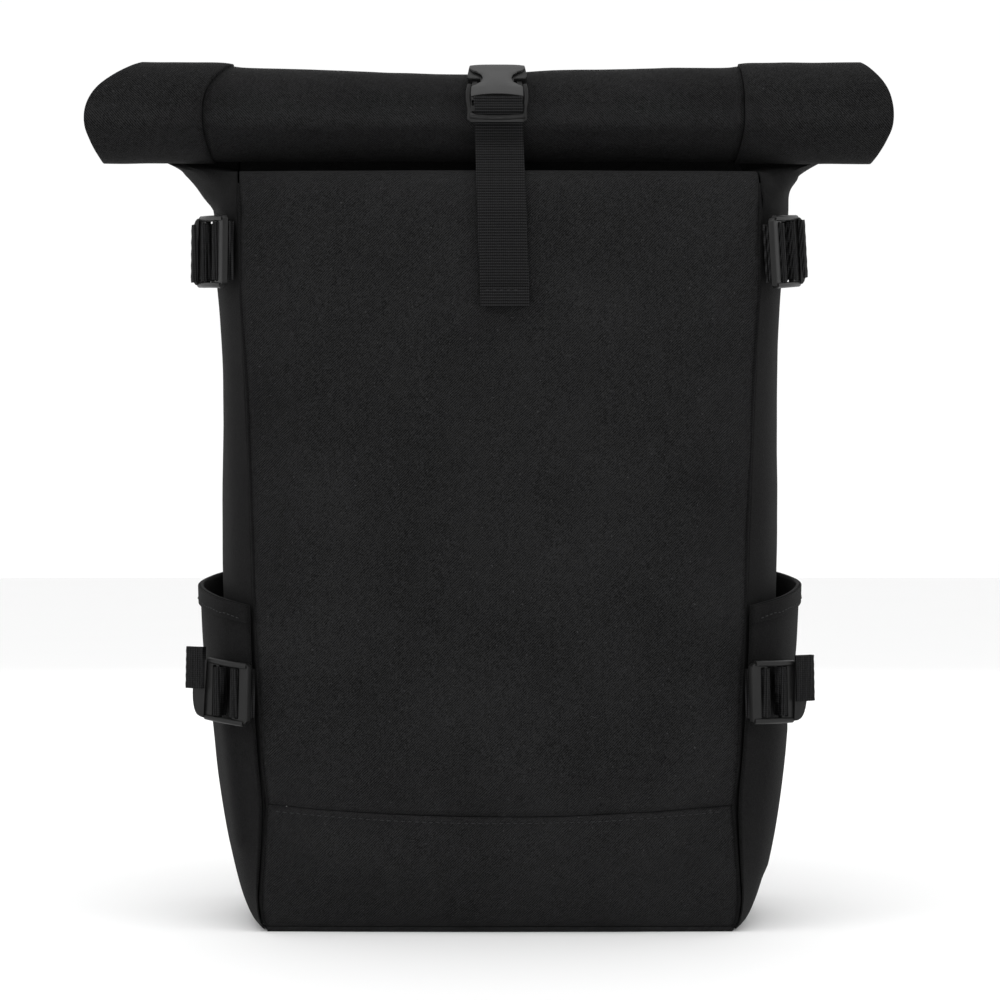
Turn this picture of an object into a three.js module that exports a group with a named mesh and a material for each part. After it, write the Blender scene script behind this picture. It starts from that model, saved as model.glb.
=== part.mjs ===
// Rolltop backpack standing on its base, in millimetres, +Z up, front facing -Y.
import * as THREE from 'three';

// Body sizes
const bodyHeight = 398;
const bodyWidth = 268;
const bodySpan = 312;
const bodyDepth = 138;
const frontCrown = 9;
const backCrown = 2;
const lowerSeamHeight = 66;
const lowerSeamSag = 5.5;
const clothWall = 2;
const baseWall = 2.6;
const seamGap = 0.3;

// Roll sizes
const rollRadius = 27.2;
const rollLength = 422;
const rollShift = -6.5;
const rollForward = 31;
const rollPitch = 4.4;
const rollWall = 2.7;
const rollTurns = 4;
const rollSeamHalf = 138;
const rollEndGrowth = 1.6;
const rollDent = 2.2;
const rollDentReach = 46;
const rollRidge = 1.4;
const rollRest = 2.8;
const rollStrapX = -1.5;

// Pocket sizes
const pocketWall = 1.5;
const pocketBulge = 10.3;
const pocketClear = 0.7;
const pocketRimFront = 168;
const pocketRimBack = 186;
const hemWidth = 9.5;
const hemWall = 1;

// Webbing and hardware sizes
const webbing = 1.3;
const webClear = 0.4;
const frontWeb = 25;
const lowerWeb = 25;
const upperWeb = 30;
const frontTailEnd = 321;
const loadStrapEnd = 336;
const tailHem = 9.5;
const lowerStrapHeight = bodyHeight * 0.3116;
const upperStrapHeight = bodyHeight * 0.882;
const lockThick = 3;
const lockBar = 2;
const lockEdge = 6;
const lockRail = 3;
const lockStand = 4.7;
const lowerLockLength = 31;
const lowerLockMiddle = bodySpan * 0.4487;
const lowerLockFacing = THREE.MathUtils.degToRad(39);
const upperLockLength = 34;
const upperLockMiddle = bodySpan * 0.477;
const upperLockForward = 1.5;
const upperLockFacing = THREE.MathUtils.degToRad(62);
const cornerShare = 0.5;
const buckleWidth = 31;
const buckleThick = 5.5;
const buckleStart = -13;
const plugFrame = 14;
const plugLength = 23;
const socketLength = 18.5;

// Carrying side sizes
const padWidth = 190;
const padHeight = bodyHeight * 0.8;
const padThick = 12;
const padBottom = 30;
const strapPadWidth = 62;
const strapPadThick = 10;
const strapSpread = 52;
const haulWeb = 25;
const haulSpan = 84;
const haulRise = 36;

// Rows of the body from base to shoulder, as shares of bodyHeight, half bodyWidth,
// half bodySpan, half bodyDepth and frontCrown
const bodyRows = [
  { up: 0, front: 0.88, side: 0.782, depth: 0.89, crown: 0.1 },
  { up: 0.015, front: 0.91, side: 0.827, depth: 0.94, crown: 0.3 },
  { up: 0.043, front: 0.918, side: 0.859, depth: 0.98, crown: 0.55 },
  { up: 0.095, front: 0.907, side: 0.888, depth: 1, crown: 0.8 },
  { up: 0.166, front: 0.892, side: 0.913, depth: 0.985, crown: 0.85 },
  { up: 0.214, front: 0.91, side: 0.926, depth: 1, crown: 0.95 },
  { up: 0.344, front: 0.933, side: 0.949, depth: 1, crown: 1 },
  { up: 0.515, front: 0.948, side: 0.958, depth: 1, crown: 1 },
  { up: 0.688, front: 0.966, side: 0.952, depth: 1, crown: 1 },
  { up: 0.819, front: 0.993, side: 0.962, depth: 1, crown: 0.95 },
  { up: 0.935, front: 1, side: 0.994, depth: 1, crown: 0.7 },
];

// Rows of the neck that flattens into the roll: heights above bodyHeight as shares of
// rollRadius, depths as shares of half bodyDepth, spread as a share of the way from the
// body's side out to the end of the roll
const neckRows = [
  { front: -0.46, side: -0.3, back: -0.3, fore: 0.95, aft: 1, spread: 0.06, crown: 0.35 },
  { front: -0.2, side: 0.08, back: 0.12, fore: 0.83, aft: 0.9, spread: 0.22, crown: 0.1 },
  { front: -0.12, side: 0.35, back: 0.46, fore: 0.52, aft: 0.62, spread: 0.52, crown: 0 },
  { front: 0.02, side: 0.6, back: 0.7, fore: 0.2, aft: 0.32, spread: 0.82, crown: 0 },
];

// Swell of a pocket from its foot to its rim, as shares of pocketRimFront and pocketBulge
const pocketRows = [
  { up: 0, out: 0.12 },
  { up: 0.05, out: 0.24 },
  { up: 0.17, out: 0.36 },
  { up: 0.33, out: 0.52 },
  { up: 0.6, out: 0.62 },
  { up: 0.85, out: 0.92 },
  { up: 1.15, out: 1 },
];

// Values that follow from the sizes
const rollCentreUp = bodyHeight + rollRadius - 0.75 * rollPitch + rollRest;
const bodySide = { front: bodyWidth / 2, side: bodySpan / 2, depth: bodyDepth / 2 };
const pinchHalf = clothWall + 1.25;
const pinchBack = rollRadius - rollForward + pinchHalf * 2;

const cloth = { color: 0x161616, roughness: 0.95, metalness: 0 };
const webCloth = { color: 0x101010, roughness: 0.9, metalness: 0 };
const plastic = { color: 0x1b1b1b, roughness: 0.45, metalness: 0 };

const backpack = new THREE.Group();

function addPiece(name, geometry, finish, parent = backpack) {
  const mesh = new THREE.Mesh(geometry, new THREE.MeshStandardMaterial(finish));
  mesh.name = name;
  parent.add(mesh);
  return mesh;
}

function lerp(a, b, share) {
  return a + (b - a) * share;
}

function clamp(value, low, high) {
  return Math.min(high, Math.max(low, value));
}

// A closed solid from flat lists, turned so that its faces point out
function solid(points, faces) {
  const corner = (index) => new THREE.Vector3().fromArray(points, index * 3);
  let volume = 0;
  for (let k = 0; k < faces.length; k += 3) {
    volume += corner(faces[k]).dot(corner(faces[k + 1]).cross(corner(faces[k + 2])));
  }
  const order = volume < 0 ? faces.slice().reverse() : faces;
  const geometry = new THREE.BufferGeometry();
  geometry.setAttribute('position', new THREE.Float32BufferAttribute(points, 3));
  geometry.setIndex(order);
  geometry.computeVertexNormals();
  return geometry;
}

// A sheet with a wall, from its outer and inner faces as functions of two shares
function sheet(outerAt, innerAt, cols, rows) {
  const points = [];
  for (const at of [outerAt, innerAt]) {
    for (let j = 0; j <= rows; j++) {
      for (let i = 0; i <= cols; i++) points.push(...at(i / cols, j / rows).toArray());
    }
  }
  const layer = (cols + 1) * (rows + 1);
  const id = (face, i, j) => face * layer + j * (cols + 1) + i;
  const faces = [];
  const quad = (a, b, c, d) => faces.push(a, b, c, a, c, d);
  for (let j = 0; j < rows; j++) {
    for (let i = 0; i < cols; i++) {
      quad(id(0, i, j), id(0, i + 1, j), id(0, i + 1, j + 1), id(0, i, j + 1));
      quad(id(1, i, j), id(1, i, j + 1), id(1, i + 1, j + 1), id(1, i + 1, j));
    }
  }
  for (let i = 0; i < cols; i++) {
    quad(id(0, i + 1, 0), id(0, i, 0), id(1, i, 0), id(1, i + 1, 0));
    quad(id(0, i, rows), id(0, i + 1, rows), id(1, i + 1, rows), id(1, i, rows));
  }
  for (let j = 0; j < rows; j++) {
    quad(id(0, 0, j), id(0, 0, j + 1), id(1, 0, j + 1), id(1, 0, j));
    quad(id(0, cols, j + 1), id(0, cols, j), id(1, cols, j), id(1, cols, j + 1));
  }
  return solid(points, faces);
}

// The outward direction of a strap at each of its middle points, lengthened at a bend so
// that the wall keeps its thickness
function strapNormals(middle, across) {
  const last = middle.length - 1;
  return middle.map((point, k) => {
    const onward = middle[Math.min(k + 1, last)].clone().sub(middle[Math.min(k, last - 1)]).normalize();
    const into = middle[Math.max(k, 1)].clone().sub(middle[Math.max(k - 1, 0)]).normalize();
    const along = into.clone().add(onward).normalize();
    const out = new THREE.Vector3().crossVectors(along, across[k] ?? across).normalize();
    return out.multiplyScalar(1 / Math.max(along.dot(onward), 0.5));
  });
}

function shifted(middle, across, distance) {
  const normals = strapNormals(middle, across);
  return middle.map((point, k) => point.clone().addScaledVector(normals[k], distance));
}

// A flat strap along a list of middle points, with its width along the across direction,
// which is one vector or a list with one for each point
function ribbon(middle, across, widthAt, thick) {
  const last = middle.length - 1;
  const points = [];
  const normals = strapNormals(middle, across);
  middle.forEach((point, k) => {
    const half = widthAt(k / last) / 2;
    for (const [w, n] of [[-1, -1], [1, -1], [1, 1], [-1, 1]]) {
      const spot = point.clone().addScaledVector(across[k] ?? across, w * half);
      points.push(...spot.addScaledVector(normals[k], (n * thick) / 2).toArray());
    }
  });
  const faces = [];
  const quad = (a, b, c, d) => faces.push(a, b, c, a, c, d);
  for (let k = 0; k < last; k++) {
    for (let e = 0; e < 4; e++) {
      const f = (e + 1) % 4;
      quad(k * 4 + e, k * 4 + f, k * 4 + 4 + f, k * 4 + 4 + e);
    }
  }
  quad(3, 2, 1, 0);
  quad(last * 4, last * 4 + 1, last * 4 + 2, last * 4 + 3);
  return solid(points, faces);
}

// The rows of the whole bag, in millimetres
const rows = bodyRows.map((row) => ({
  frontUp: row.up * bodyHeight,
  sideUp: row.up * bodyHeight,
  backUp: row.up * bodyHeight,
  front: row.front * bodySide.front,
  side: row.side * bodySide.side,
  fore: -row.depth * bodySide.depth,
  aft: row.depth * bodySide.depth,
  crown: row.crown * frontCrown,
  lean: 0,
  arch: 0.6,
}));
const shoulder = rows[rows.length - 1];
const earReach = rollLength / 2 - rollWall - webClear;
for (const row of neckRows) {
  rows.push({
    frontUp: bodyHeight + row.front * rollRadius,
    sideUp: bodyHeight + row.side * rollRadius,
    backUp: bodyHeight + row.back * rollRadius,
    front: shoulder.front,
    side: lerp(shoulder.side, earReach, row.spread),
    fore: -row.fore * bodySide.depth,
    aft: row.aft * bodySide.depth,
    crown: row.crown * frontCrown,
    lean: row.spread * rollShift,
    arch: lerp(0.6, 1, row.spread),
  });
}
rows.push({
  frontUp: rollCentreUp - webClear,
  sideUp: rollCentreUp - webClear,
  backUp: rollCentreUp - webClear,
  front: shoulder.front,
  side: earReach,
  fore: pinchBack - pinchHalf * 2,
  aft: pinchBack,
  crown: 0,
  lean: rollShift,
  arch: 1,
});
const lastRow = rows.length - 1;
const lastBodyRow = bodyRows.length - 1;

function rowAt(level) {
  const low = clamp(Math.floor(level), 0, lastRow - 1);
  const share = clamp(level - low, 0, 1);
  const mixed = {};
  for (const key of Object.keys(rows[0])) mixed[key] = lerp(rows[low][key], rows[low + 1][key], share);
  return mixed;
}

function levelOf(height) {
  for (let k = 0; k < lastBodyRow; k++) {
    if (height <= rows[k + 1].sideUp) {
      return k + (height - rows[k].sideUp) / (rows[k + 1].sideUp - rows[k].sideUp);
    }
  }
  return lastBodyRow;
}

// A point of the bag's outer face: turn 0 to 1 is the front from left to right, 1 to 2
// the right side from front to back, 2 to 3 the back and 3 to 4 the left side
function bagPoint(turn, level) {
  const row = rowAt(level);
  const wrapped = ((turn % 4) + 4) % 4;
  const panel = Math.floor(wrapped);
  const share = wrapped - panel;
  const dome = 1 - (2 * share - 1) ** 2;
  if (panel === 0) {
    const x = lerp(-row.front, row.front, share);
    return new THREE.Vector3(x + row.lean, row.fore - row.crown * dome, row.frontUp);
  }
  if (panel === 2) {
    const x = lerp(row.front, -row.front, share);
    return new THREE.Vector3(x + row.lean, row.aft + backCrown * dome * (row.crown > 0 ? 1 : 0), row.backUp);
  }
  const back = panel === 1 ? share : 1 - share;
  const swell = Math.sin(Math.PI * back);
  const half = row.front + (row.side - row.front) * Math.max(swell, 0) ** row.arch;
  const rise = row.sideUp - (row.frontUp + row.backUp) / 2;
  return new THREE.Vector3(
    (panel === 1 ? half : -half) + row.lean,
    lerp(row.fore, row.aft, back),
    lerp(row.frontUp, row.backUp, back) + rise * swell,
  );
}

function bagNormal(turn, level) {
  const reach = 0.012;
  const around = bagPoint(turn + reach, level).sub(bagPoint(turn - reach, level));
  const low = Math.max(level - 0.1, 0);
  const high = Math.min(level + 0.1, lastRow);
  const up = bagPoint(turn, high).sub(bagPoint(turn, low));
  return around.cross(up).normalize();
}

function onBag(turn, level, lift) {
  return bagPoint(turn, level).addScaledVector(bagNormal(turn, level), lift);
}

// A panel of the bag between two turns, with one level for each row at each share across
function panelSheet(from, to, cols, levelsAt, liftAt, wall) {
  const rowsCount = levelsAt(0).length - 1;
  const place = (extra) => (i, j) => {
    const levels = levelsAt(i);
    const level = levels[Math.round(j * rowsCount)];
    const turn = lerp(from, to, i);
    return onBag(turn, level, liftAt(i, level) + extra);
  };
  return sheet(place(wall), place(0), cols, rowsCount);
}

const sideTurn = (hand, back) => (hand > 0 ? 1 + back : 4 - back);
const flush = (wall) => () => -wall;
const wholeRows = (first, last) => {
  const list = [];
  for (let k = first; k <= last; k++) list.push(k);
  return list;
};
const baseLevel = levelOf(baseWall + seamGap);
const frontTrim = seamGap / 2 / bodyWidth;
const sideTrim = seamGap / 2 / bodyDepth;

function seamUp(share) {
  return lowerSeamHeight - lowerSeamSag * (1 - (2 * share - 1) ** 2);
}

// Front, lower front, back and side panels, and the base
function makeBody() {
  const seamRow = Math.ceil(levelOf(lowerSeamHeight + 4));
  const lowRow = Math.floor(levelOf(lowerSeamHeight - lowerSeamSag - 4));
  const frontLevels = (s) => [levelOf(seamUp(s) + seamGap / 2), ...wholeRows(seamRow, lastRow)];
  const lowLevels = (s) => [baseLevel, ...wholeRows(1, lowRow), levelOf(seamUp(s) - seamGap / 2)];
  const fullLevels = () => [baseLevel, ...wholeRows(1, lastRow)];
  const wall = clothWall;
  addPiece('front_panel', panelSheet(frontTrim, 1 - frontTrim, 12, frontLevels, flush(wall), wall), cloth);
  const lowerFront = panelSheet(frontTrim, 1 - frontTrim, 12, lowLevels, flush(wall), wall);
  addPiece('lower_front_panel', lowerFront, cloth);
  const back = panelSheet(2 + frontTrim, 3 - frontTrim, 8, fullLevels, flush(wall), wall);
  addPiece('back_panel', back, cloth);
  for (const [hand, name] of [[1, 'right'], [-1, 'left']]) {
    const from = sideTurn(hand, sideTrim);
    const to = sideTurn(hand, 1 - sideTrim);
    addPiece(`side_panel_${name}`, panelSheet(from, to, 10, fullLevels, flush(wall), wall), cloth);
  }
  const outline = new THREE.Shape();
  const count = 28;
  for (let k = 0; k < count; k++) {
    const spot = bagPoint((k * 4) / count, baseLevel);
    if (k === 0) outline.moveTo(spot.x, spot.y);
    else outline.lineTo(spot.x, spot.y);
  }
  addPiece('base_panel', new THREE.ExtrudeGeometry(outline, { depth: baseWall, bevelEnabled: false }), cloth);
}

function pocketLift(back, level) {
  const height = rowAt(level).sideUp / pocketRimFront;
  let k = 0;
  while (k < pocketRows.length - 2 && height > pocketRows[k + 1].up) k++;
  const [low, high] = [pocketRows[k], pocketRows[k + 1]];
  const out = lerp(low.out, high.out, clamp((height - low.up) / (high.up - low.up), 0, 1));
  return pocketClear + pocketBulge * out * Math.sin(Math.PI * back) ** 0.6;
}

// Side pockets with the hem along each rim
function makePockets() {
  const rim = (back) => lerp(pocketRimFront, pocketRimBack, back ** 0.7);
  const lowRows = wholeRows(1, 4);
  const steps = 6;
  for (const [hand, name] of [[1, 'right'], [-1, 'left']]) {
    const trim = sideTrim * 4;
    const backOf = (i) => lerp(trim, 1 - trim, i);
    const levels = (i) => {
      const top = rim(backOf(i));
      const first = rows[lowRows.length].sideUp;
      const above = Array.from({ length: steps }, (_, k) => levelOf(lerp(first, top, (k + 1) / steps)));
      return [baseLevel, ...lowRows, ...above];
    };
    const hemLevels = (i) => {
      const top = rim(backOf(i));
      return [0, 0.5, 1].map((k) => levelOf(lerp(top - hemWidth, top - 0.5, k)));
    };
    const lift = (i, level) => pocketLift(backOf(i), level);
    const hemLift = (i, level) => lift(i, level) + pocketWall + seamGap;
    const ends = [sideTurn(hand, trim), sideTurn(hand, 1 - trim)];
    addPiece(`side_pocket_${name}`, panelSheet(...ends, 10, levels, lift, pocketWall), cloth);
    addPiece(`pocket_hem_${name}`, panelSheet(...ends, 10, hemLevels, hemLift, hemWall), cloth);
  }
}

// The roll: a spiral of doubled cloth seen from its ends, with the outer layer starting
// at the back and turning over the top to the front
const rollEnds = {
  left: { top: 30, front: 2, bottom: 9 },
  right: { top: 15, front: 0, bottom: 9 },
};
const telescope = 3;

function rollPoint(angle, x, depthIn) {
  const turned = angle % (Math.PI * 2);
  const upperFront = clamp(Math.sin(turned) * 0.6 - Math.cos(turned) * 0.8, 0, 1);
  const dent = rollDent * Math.exp(-(((x - rollStrapX) / rollDentReach) ** 2)) * upperFront;
  const ridge = rollRidge * Math.exp(-(((turned - Math.PI * 1.06) / 0.42) ** 2));
  const atEnd = Math.abs(x - rollShift) > rollSeamHalf ? rollEndGrowth * Math.sin(turned / 2) : 0;
  const radius = rollRadius - (rollPitch * angle) / (Math.PI * 2) + ridge - dent + atEnd - depthIn;
  const forward = -rollForward + radius * Math.cos(turned);
  return new THREE.Vector3(x, forward, rollCentreUp + radius * Math.sin(turned));
}

function endSetback(end, angle) {
  const turned = angle % (Math.PI * 2);
  const up = Math.sin(turned);
  const front = Math.max(-Math.cos(turned), 0);
  const share = up > 0 ? end.top * up ** 2 : end.bottom * up ** 2;
  return share + end.front * front + telescope * Math.floor(angle / (Math.PI * 2));
}

function makeRoll() {
  const turnSteps = [20, 14, 10, 8];
  const angles = [];
  turnSteps.slice(0, rollTurns).forEach((steps, turn) => {
    for (let k = 0; k < steps; k++) angles.push((turn + k / steps) * Math.PI * 2);
  });
  angles.push(rollTurns * Math.PI * 2 - 0.02);
  const cols = angles.length - 1;
  const angleOf = (i) => angles[Math.round(i * cols)];
  const section = (name, rowsCount, xAt) => {
    const place = (depthIn) => (i, j) => rollPoint(angleOf(i), xAt(j, angleOf(i)), depthIn);
    addPiece(name, sheet(place(0), place(rollWall), cols, rowsCount), cloth);
  };
  const low = rollShift - rollSeamHalf;
  const high = rollShift + rollSeamHalf;
  const leftEnd = rollShift - rollLength / 2;
  const rightEnd = rollShift + rollLength / 2;
  section('roll_centre', 8, (j) => lerp(low + seamGap / 2, high - seamGap / 2, j));
  const leftAt = (angle) => leftEnd + endSetback(rollEnds.left, angle);
  const rightAt = (angle) => rightEnd - endSetback(rollEnds.right, angle);
  section('roll_end_left', 3, (j, angle) => lerp(low - seamGap / 2, leftAt(angle), j));
  section('roll_end_right', 3, (j, angle) => lerp(high + seamGap / 2, rightAt(angle), j));
}

// A point on the roll's face at an angle over it, lifted outwards
function overRoll(angle, lift) {
  return rollPoint(angle, rollStrapX, -lift);
}

const xAxis = new THREE.Vector3(1, 0, 0);
const zAxis = new THREE.Vector3(0, 0, 1);

function frontPoint(height, lift) {
  const level = levelOf(height);
  return onBag(0.5, level, lift).setX(rollStrapX);
}

function frontAt(level, lift) {
  return onBag(0.5, level, lift).setX(rollStrapX);
}

const same = (width) => () => width;

// The front strap with its hanging tail, the buckle and the strap over the roll
function makeFrontStrap() {
  const under = webClear + webbing / 2;
  const layer = webbing + webClear;
  const plugFoot = Math.PI - (buckleStart * Math.PI) / 180;
  const bendRadius = rollRadius + buckleThick / 2;
  const angleAt = (along) => plugFoot - along / bendRadius;
  const plugLift = (along) => lerp(2 * layer + 2 * webClear, 1.8, clamp((along - 9) / 12, 0, 1));
  const plugThick = buckleThick - 1.5;
  const barLow = 5.2;
  const barHigh = 7.8;
  const aside = webClear + webbing / 2;
  const rising = [
    frontPoint(loadStrapEnd, under),
    frontAt(lastBodyRow - 0.3, under),
    frontAt(lastBodyRow, under + 0.2),
    frontAt(lastBodyRow + 1, under + 0.6),
    overRoll(plugFoot + 0.3, under + 1.6),
    overRoll(angleAt(1), under + 0.4),
    overRoll(angleAt(barHigh + aside), under + 0.4),
  ];
  const overBar = plugLift(barHigh) + plugThick + aside;
  const falling = shifted([frontPoint(frontTailEnd, under), ...rising.slice(1, -1)], xAxis, -layer);
  const strapLine = [
    ...rising,
    overRoll(angleAt(barHigh + aside), overBar),
    overRoll(angleAt(barLow - aside), overBar),
    overRoll(angleAt(barLow - aside), under + layer),
    ...falling.reverse(),
  ];
  addPiece('front_strap', ribbon(strapLine, xAxis, same(frontWeb), webbing), webCloth);
  const hemLift = under + 2 * layer;
  const hem = [frontPoint(frontTailEnd + tailHem, hemLift), frontPoint(frontTailEnd, hemLift)];
  addPiece('front_strap_hem', ribbon(hem, xAxis, same(frontWeb), webbing), webCloth);

  const bend = (geometry, from) => {
    const spots = geometry.attributes.position;
    for (let k = 0; k < spots.count; k++) {
      const along = from + spots.getY(k);
      const spot = overRoll(angleAt(along), plugLift(along) + spots.getZ(k));
      spots.setXYZ(k, rollStrapX + spots.getX(k), spot.y, spot.z);
    }
    return geometry;
  };
  const side = buckleWidth / 2;
  const arm = 3.2;
  const windowHigh = plugFrame - 3.4;
  const plug = new THREE.Shape([
    [-side, 1.6], [-side + 2, 0], [side - 2, 0], [side, 1.6],
    [side, plugFrame - 2], [side - 1.6, plugFrame],
    [side - 2.2, plugLength - 3], [side - 2.8, plugLength], [side - 2.2 - arm, plugLength],
    [side - 1.8 - arm, plugFrame], [3.4, plugFrame], [3.2, plugLength - 5], [-3.2, plugLength - 5],
    [-3.4, plugFrame], [-side + 1.8 + arm, plugFrame], [-side + 2.2 + arm, plugLength],
    [-side + 2.8, plugLength], [-side + 2.2, plugLength - 3],
    [-side + 1.6, plugFrame], [-side, plugFrame - 2],
  ].map(([x, y]) => new THREE.Vector2(x, y)));
  const slot = (low, high, half) => new THREE.Path([
    [-half, low], [-half, high], [half, high], [half, low],
  ].map(([x, y]) => new THREE.Vector2(x, y)));
  plug.holes.push(slot(3.2, barLow, frontWeb / 2 + 0.5), slot(barHigh, windowHigh, frontWeb / 2 + 0.6));
  const plugSolid = new THREE.ExtrudeGeometry(plug, { depth: plugThick, bevelEnabled: false });
  addPiece('buckle_plug', bend(plugSolid, 0), plastic);

  const socketFoot = plugFrame + 0.6;
  const inner = side - 2.8 - arm - 0.8;
  const clearArm = plugLength + 0.6 - socketFoot;
  const tongue = plugLength - 5 + 0.5 - socketFoot;
  const socket = new THREE.Shape([
    [-inner, 0], [-3.9, 0], [-3.9, tongue], [3.9, tongue], [3.9, 0], [inner, 0], [inner, clearArm],
    [side - 0.6, clearArm], [side, clearArm + 2], [side - 1, socketLength], [-side + 1, socketLength],
    [-side, clearArm + 2], [-side + 0.6, clearArm], [-inner, clearArm],
  ].map(([x, y]) => new THREE.Vector2(x, y)));
  const socketSolid = new THREE.ExtrudeGeometry(socket, { depth: buckleThick, bevelEnabled: false });
  addPiece('buckle_socket', bend(socketSolid, socketFoot), plastic);

  const socketTop = angleAt(socketFoot + socketLength);
  const overTop = [];
  const steps = 7;
  for (let k = 0; k <= steps; k++) {
    overTop.push(overRoll(lerp(socketTop - 0.03, 0.75, k / steps), webClear + webbing / 2 + 0.8));
  }
  const backAt = (level, lift) => onBag(2.5, level, lift).setX(rollStrapX);
  overTop.push(backAt(lastRow - 1, 3.2), backAt(lastRow - 2, 2.4), backAt(lastRow - 3, 2.4));
  overTop.push(backAt(lastRow - 4, under + 0.4), backAt(lastBodyRow, under));
  overTop.push(backAt(lastBodyRow - 0.35, under));
  addPiece('roll_strap', ribbon(overTop, xAxis, same(frontWeb), webbing), webCloth);
}

// A ladder lock lying flat in its own frame: x away from the front seam, y along its
// height, z out from the bag
function lockSolid(width, length) {
  const high = width / 2 + lockRail;
  const half = length / 2;
  const round = 3;
  const plate = new THREE.Shape();
  plate.moveTo(-half, -high + 1.5);
  plate.lineTo(-half + 1.5, -high);
  plate.lineTo(half - round, -high);
  plate.quadraticCurveTo(half, -high, half, -high + round);
  plate.lineTo(half, high - round);
  plate.quadraticCurveTo(half, high, half - round, high);
  plate.lineTo(-half + 1.5, high);
  plate.lineTo(-half, high - 1.5);
  plate.closePath();
  const hole = width / 2 + 0.6;
  const middleHole = hole + 0.4;
  const outerHole = hole + 0.2;
  const slotOuter = half - lockEdge;
  const barIn = slotOuter - webbing - 2 * webClear - 0.4;
  const slot = (low, wide, tall) => plate.holes.push(new THREE.Path([
    [low, -tall], [low, tall], [low + wide, tall], [low + wide, -tall],
  ].map(([x, y]) => new THREE.Vector2(x, y))));
  slot(-slotOuter, slotOuter - barIn, hole);
  slot(-(barIn - lockBar), 2 * (barIn - lockBar), middleHole);
  slot(barIn, slotOuter - barIn, outerHole);
  const cut = { depth: lockThick, bevelEnabled: false, curveSegments: 3 };
  const solidPlate = new THREE.ExtrudeGeometry(plate, cut);
  solidPlate.translate(0, 0, -lockThick / 2);
  return { solidPlate, bar: barIn - lockBar / 2 };
}

// How far the bag's rounded front corner reaches along a lock's outward direction
function cornerReach(hand, spec, out) {
  const samples = 12;
  let reach = -Infinity;
  for (const way of [-1, 0, 1]) {
    const level = levelOf(spec.height + way * spec.web / 2);
    for (let k = 0; k <= samples; k++) {
      const back = (cornerShare * k) / samples;
      const place = onBag(sideTurn(hand, back), level, spec.liftAt(back, level));
      reach = Math.max(reach, place.dot(out));
    }
  }
  return reach;
}

// One side strap: its anchor in the front seam, its lock, the strap round to the back
// seam and the folded end
function makeSideStrap(hand, spec) {
  const name = hand > 0 ? 'right' : 'left';
  const away = new THREE.Vector3(hand * Math.cos(spec.facing), Math.sin(spec.facing), 0);
  const out = new THREE.Vector3().crossVectors(away, zAxis).multiplyScalar(hand);
  const up = new THREE.Vector3().crossVectors(out, away);
  const standing = cornerReach(hand, spec, out) + spec.stand;
  const middleX = hand * spec.middle;
  const centre = new THREE.Vector3(middleX, (standing - out.x * middleX) / out.y, spec.height);
  const tilt = new THREE.Matrix4().makeRotationAxis(out, spec.tilt * hand);
  away.applyMatrix4(tilt);
  up.applyMatrix4(tilt);
  const basis = new THREE.Matrix4().makeBasis(away, up, out);
  const { solidPlate, bar } = lockSolid(spec.web, spec.length);
  const lock = addPiece(`${spec.name}_lock_${name}`, solidPlate, plastic);
  lock.position.copy(centre);
  lock.quaternion.setFromRotationMatrix(basis);

  const local = (u, n) => centre.clone().addScaledVector(away, u).addScaledVector(out, n);
  const half = spec.length / 2;
  const gapIn = lockBar / 2 + webClear + webbing / 2;
  const topOf = lockThick / 2 + webClear + webbing / 2;
  const loopOf = (way, reach) => [
    local(way * reach, -topOf),
    local(way * (bar + gapIn), -topOf),
    local(way * (bar + gapIn), topOf),
    local(way * (bar - gapIn), topOf),
    local(way * (bar - gapIn), -topOf - webbing - webClear),
    local(way * reach, -topOf - webbing - webClear),
  ];
  const anchor = loopOf(-1, half + 2.5);
  addPiece(`${spec.name}_anchor_${name}`, ribbon(anchor, up, same(spec.web), webbing), webCloth);

  const strap = loopOf(1, half - 4.5).slice(1);
  const across = strap.map(() => up);
  const stations = 9;
  for (let k = 0; k <= stations; k++) {
    const back = lerp(spec.strapFrom, 0.97, k / stations);
    const height = spec.height + spec.climb * (k / stations);
    const edge = (way) => {
      const at = levelOf(height + (way * spec.web) / 2);
      return onBag(sideTurn(hand, back), at, spec.liftAt(back, at) + spec.strapLift);
    };
    const [low, high] = [edge(-1), edge(1)];
    strap.push(low.clone().add(high).multiplyScalar(0.5));
    across.push(high.sub(low).normalize().multiplyScalar(hand));
  }
  addPiece(`${spec.name}_strap_${name}`, ribbon(strap, across, same(spec.web), webbing), webCloth);

  const tabFoot = half + 1.2;
  const tab = [[tabFoot - 3, 0], [tabFoot, 0.6], [tabFoot + spec.tab * 0.5, 1.6], [tabFoot + spec.tab, 1.2]];
  const tabShare = (u) => clamp((u - tabFoot) / spec.tab + 0.4, 0, 1);
  const tabLine = tab.map(([u, n]) => local(u, n + spec.tabLift - spec.tabDrop * tabShare(u))
    .addScaledVector(zAxis, spec.tabClimb * tabShare(u)));
  addPiece(`${spec.name}_tab_${name}`, ribbon(tabLine, up, same(spec.web), webbing * 2), webCloth);
}

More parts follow.
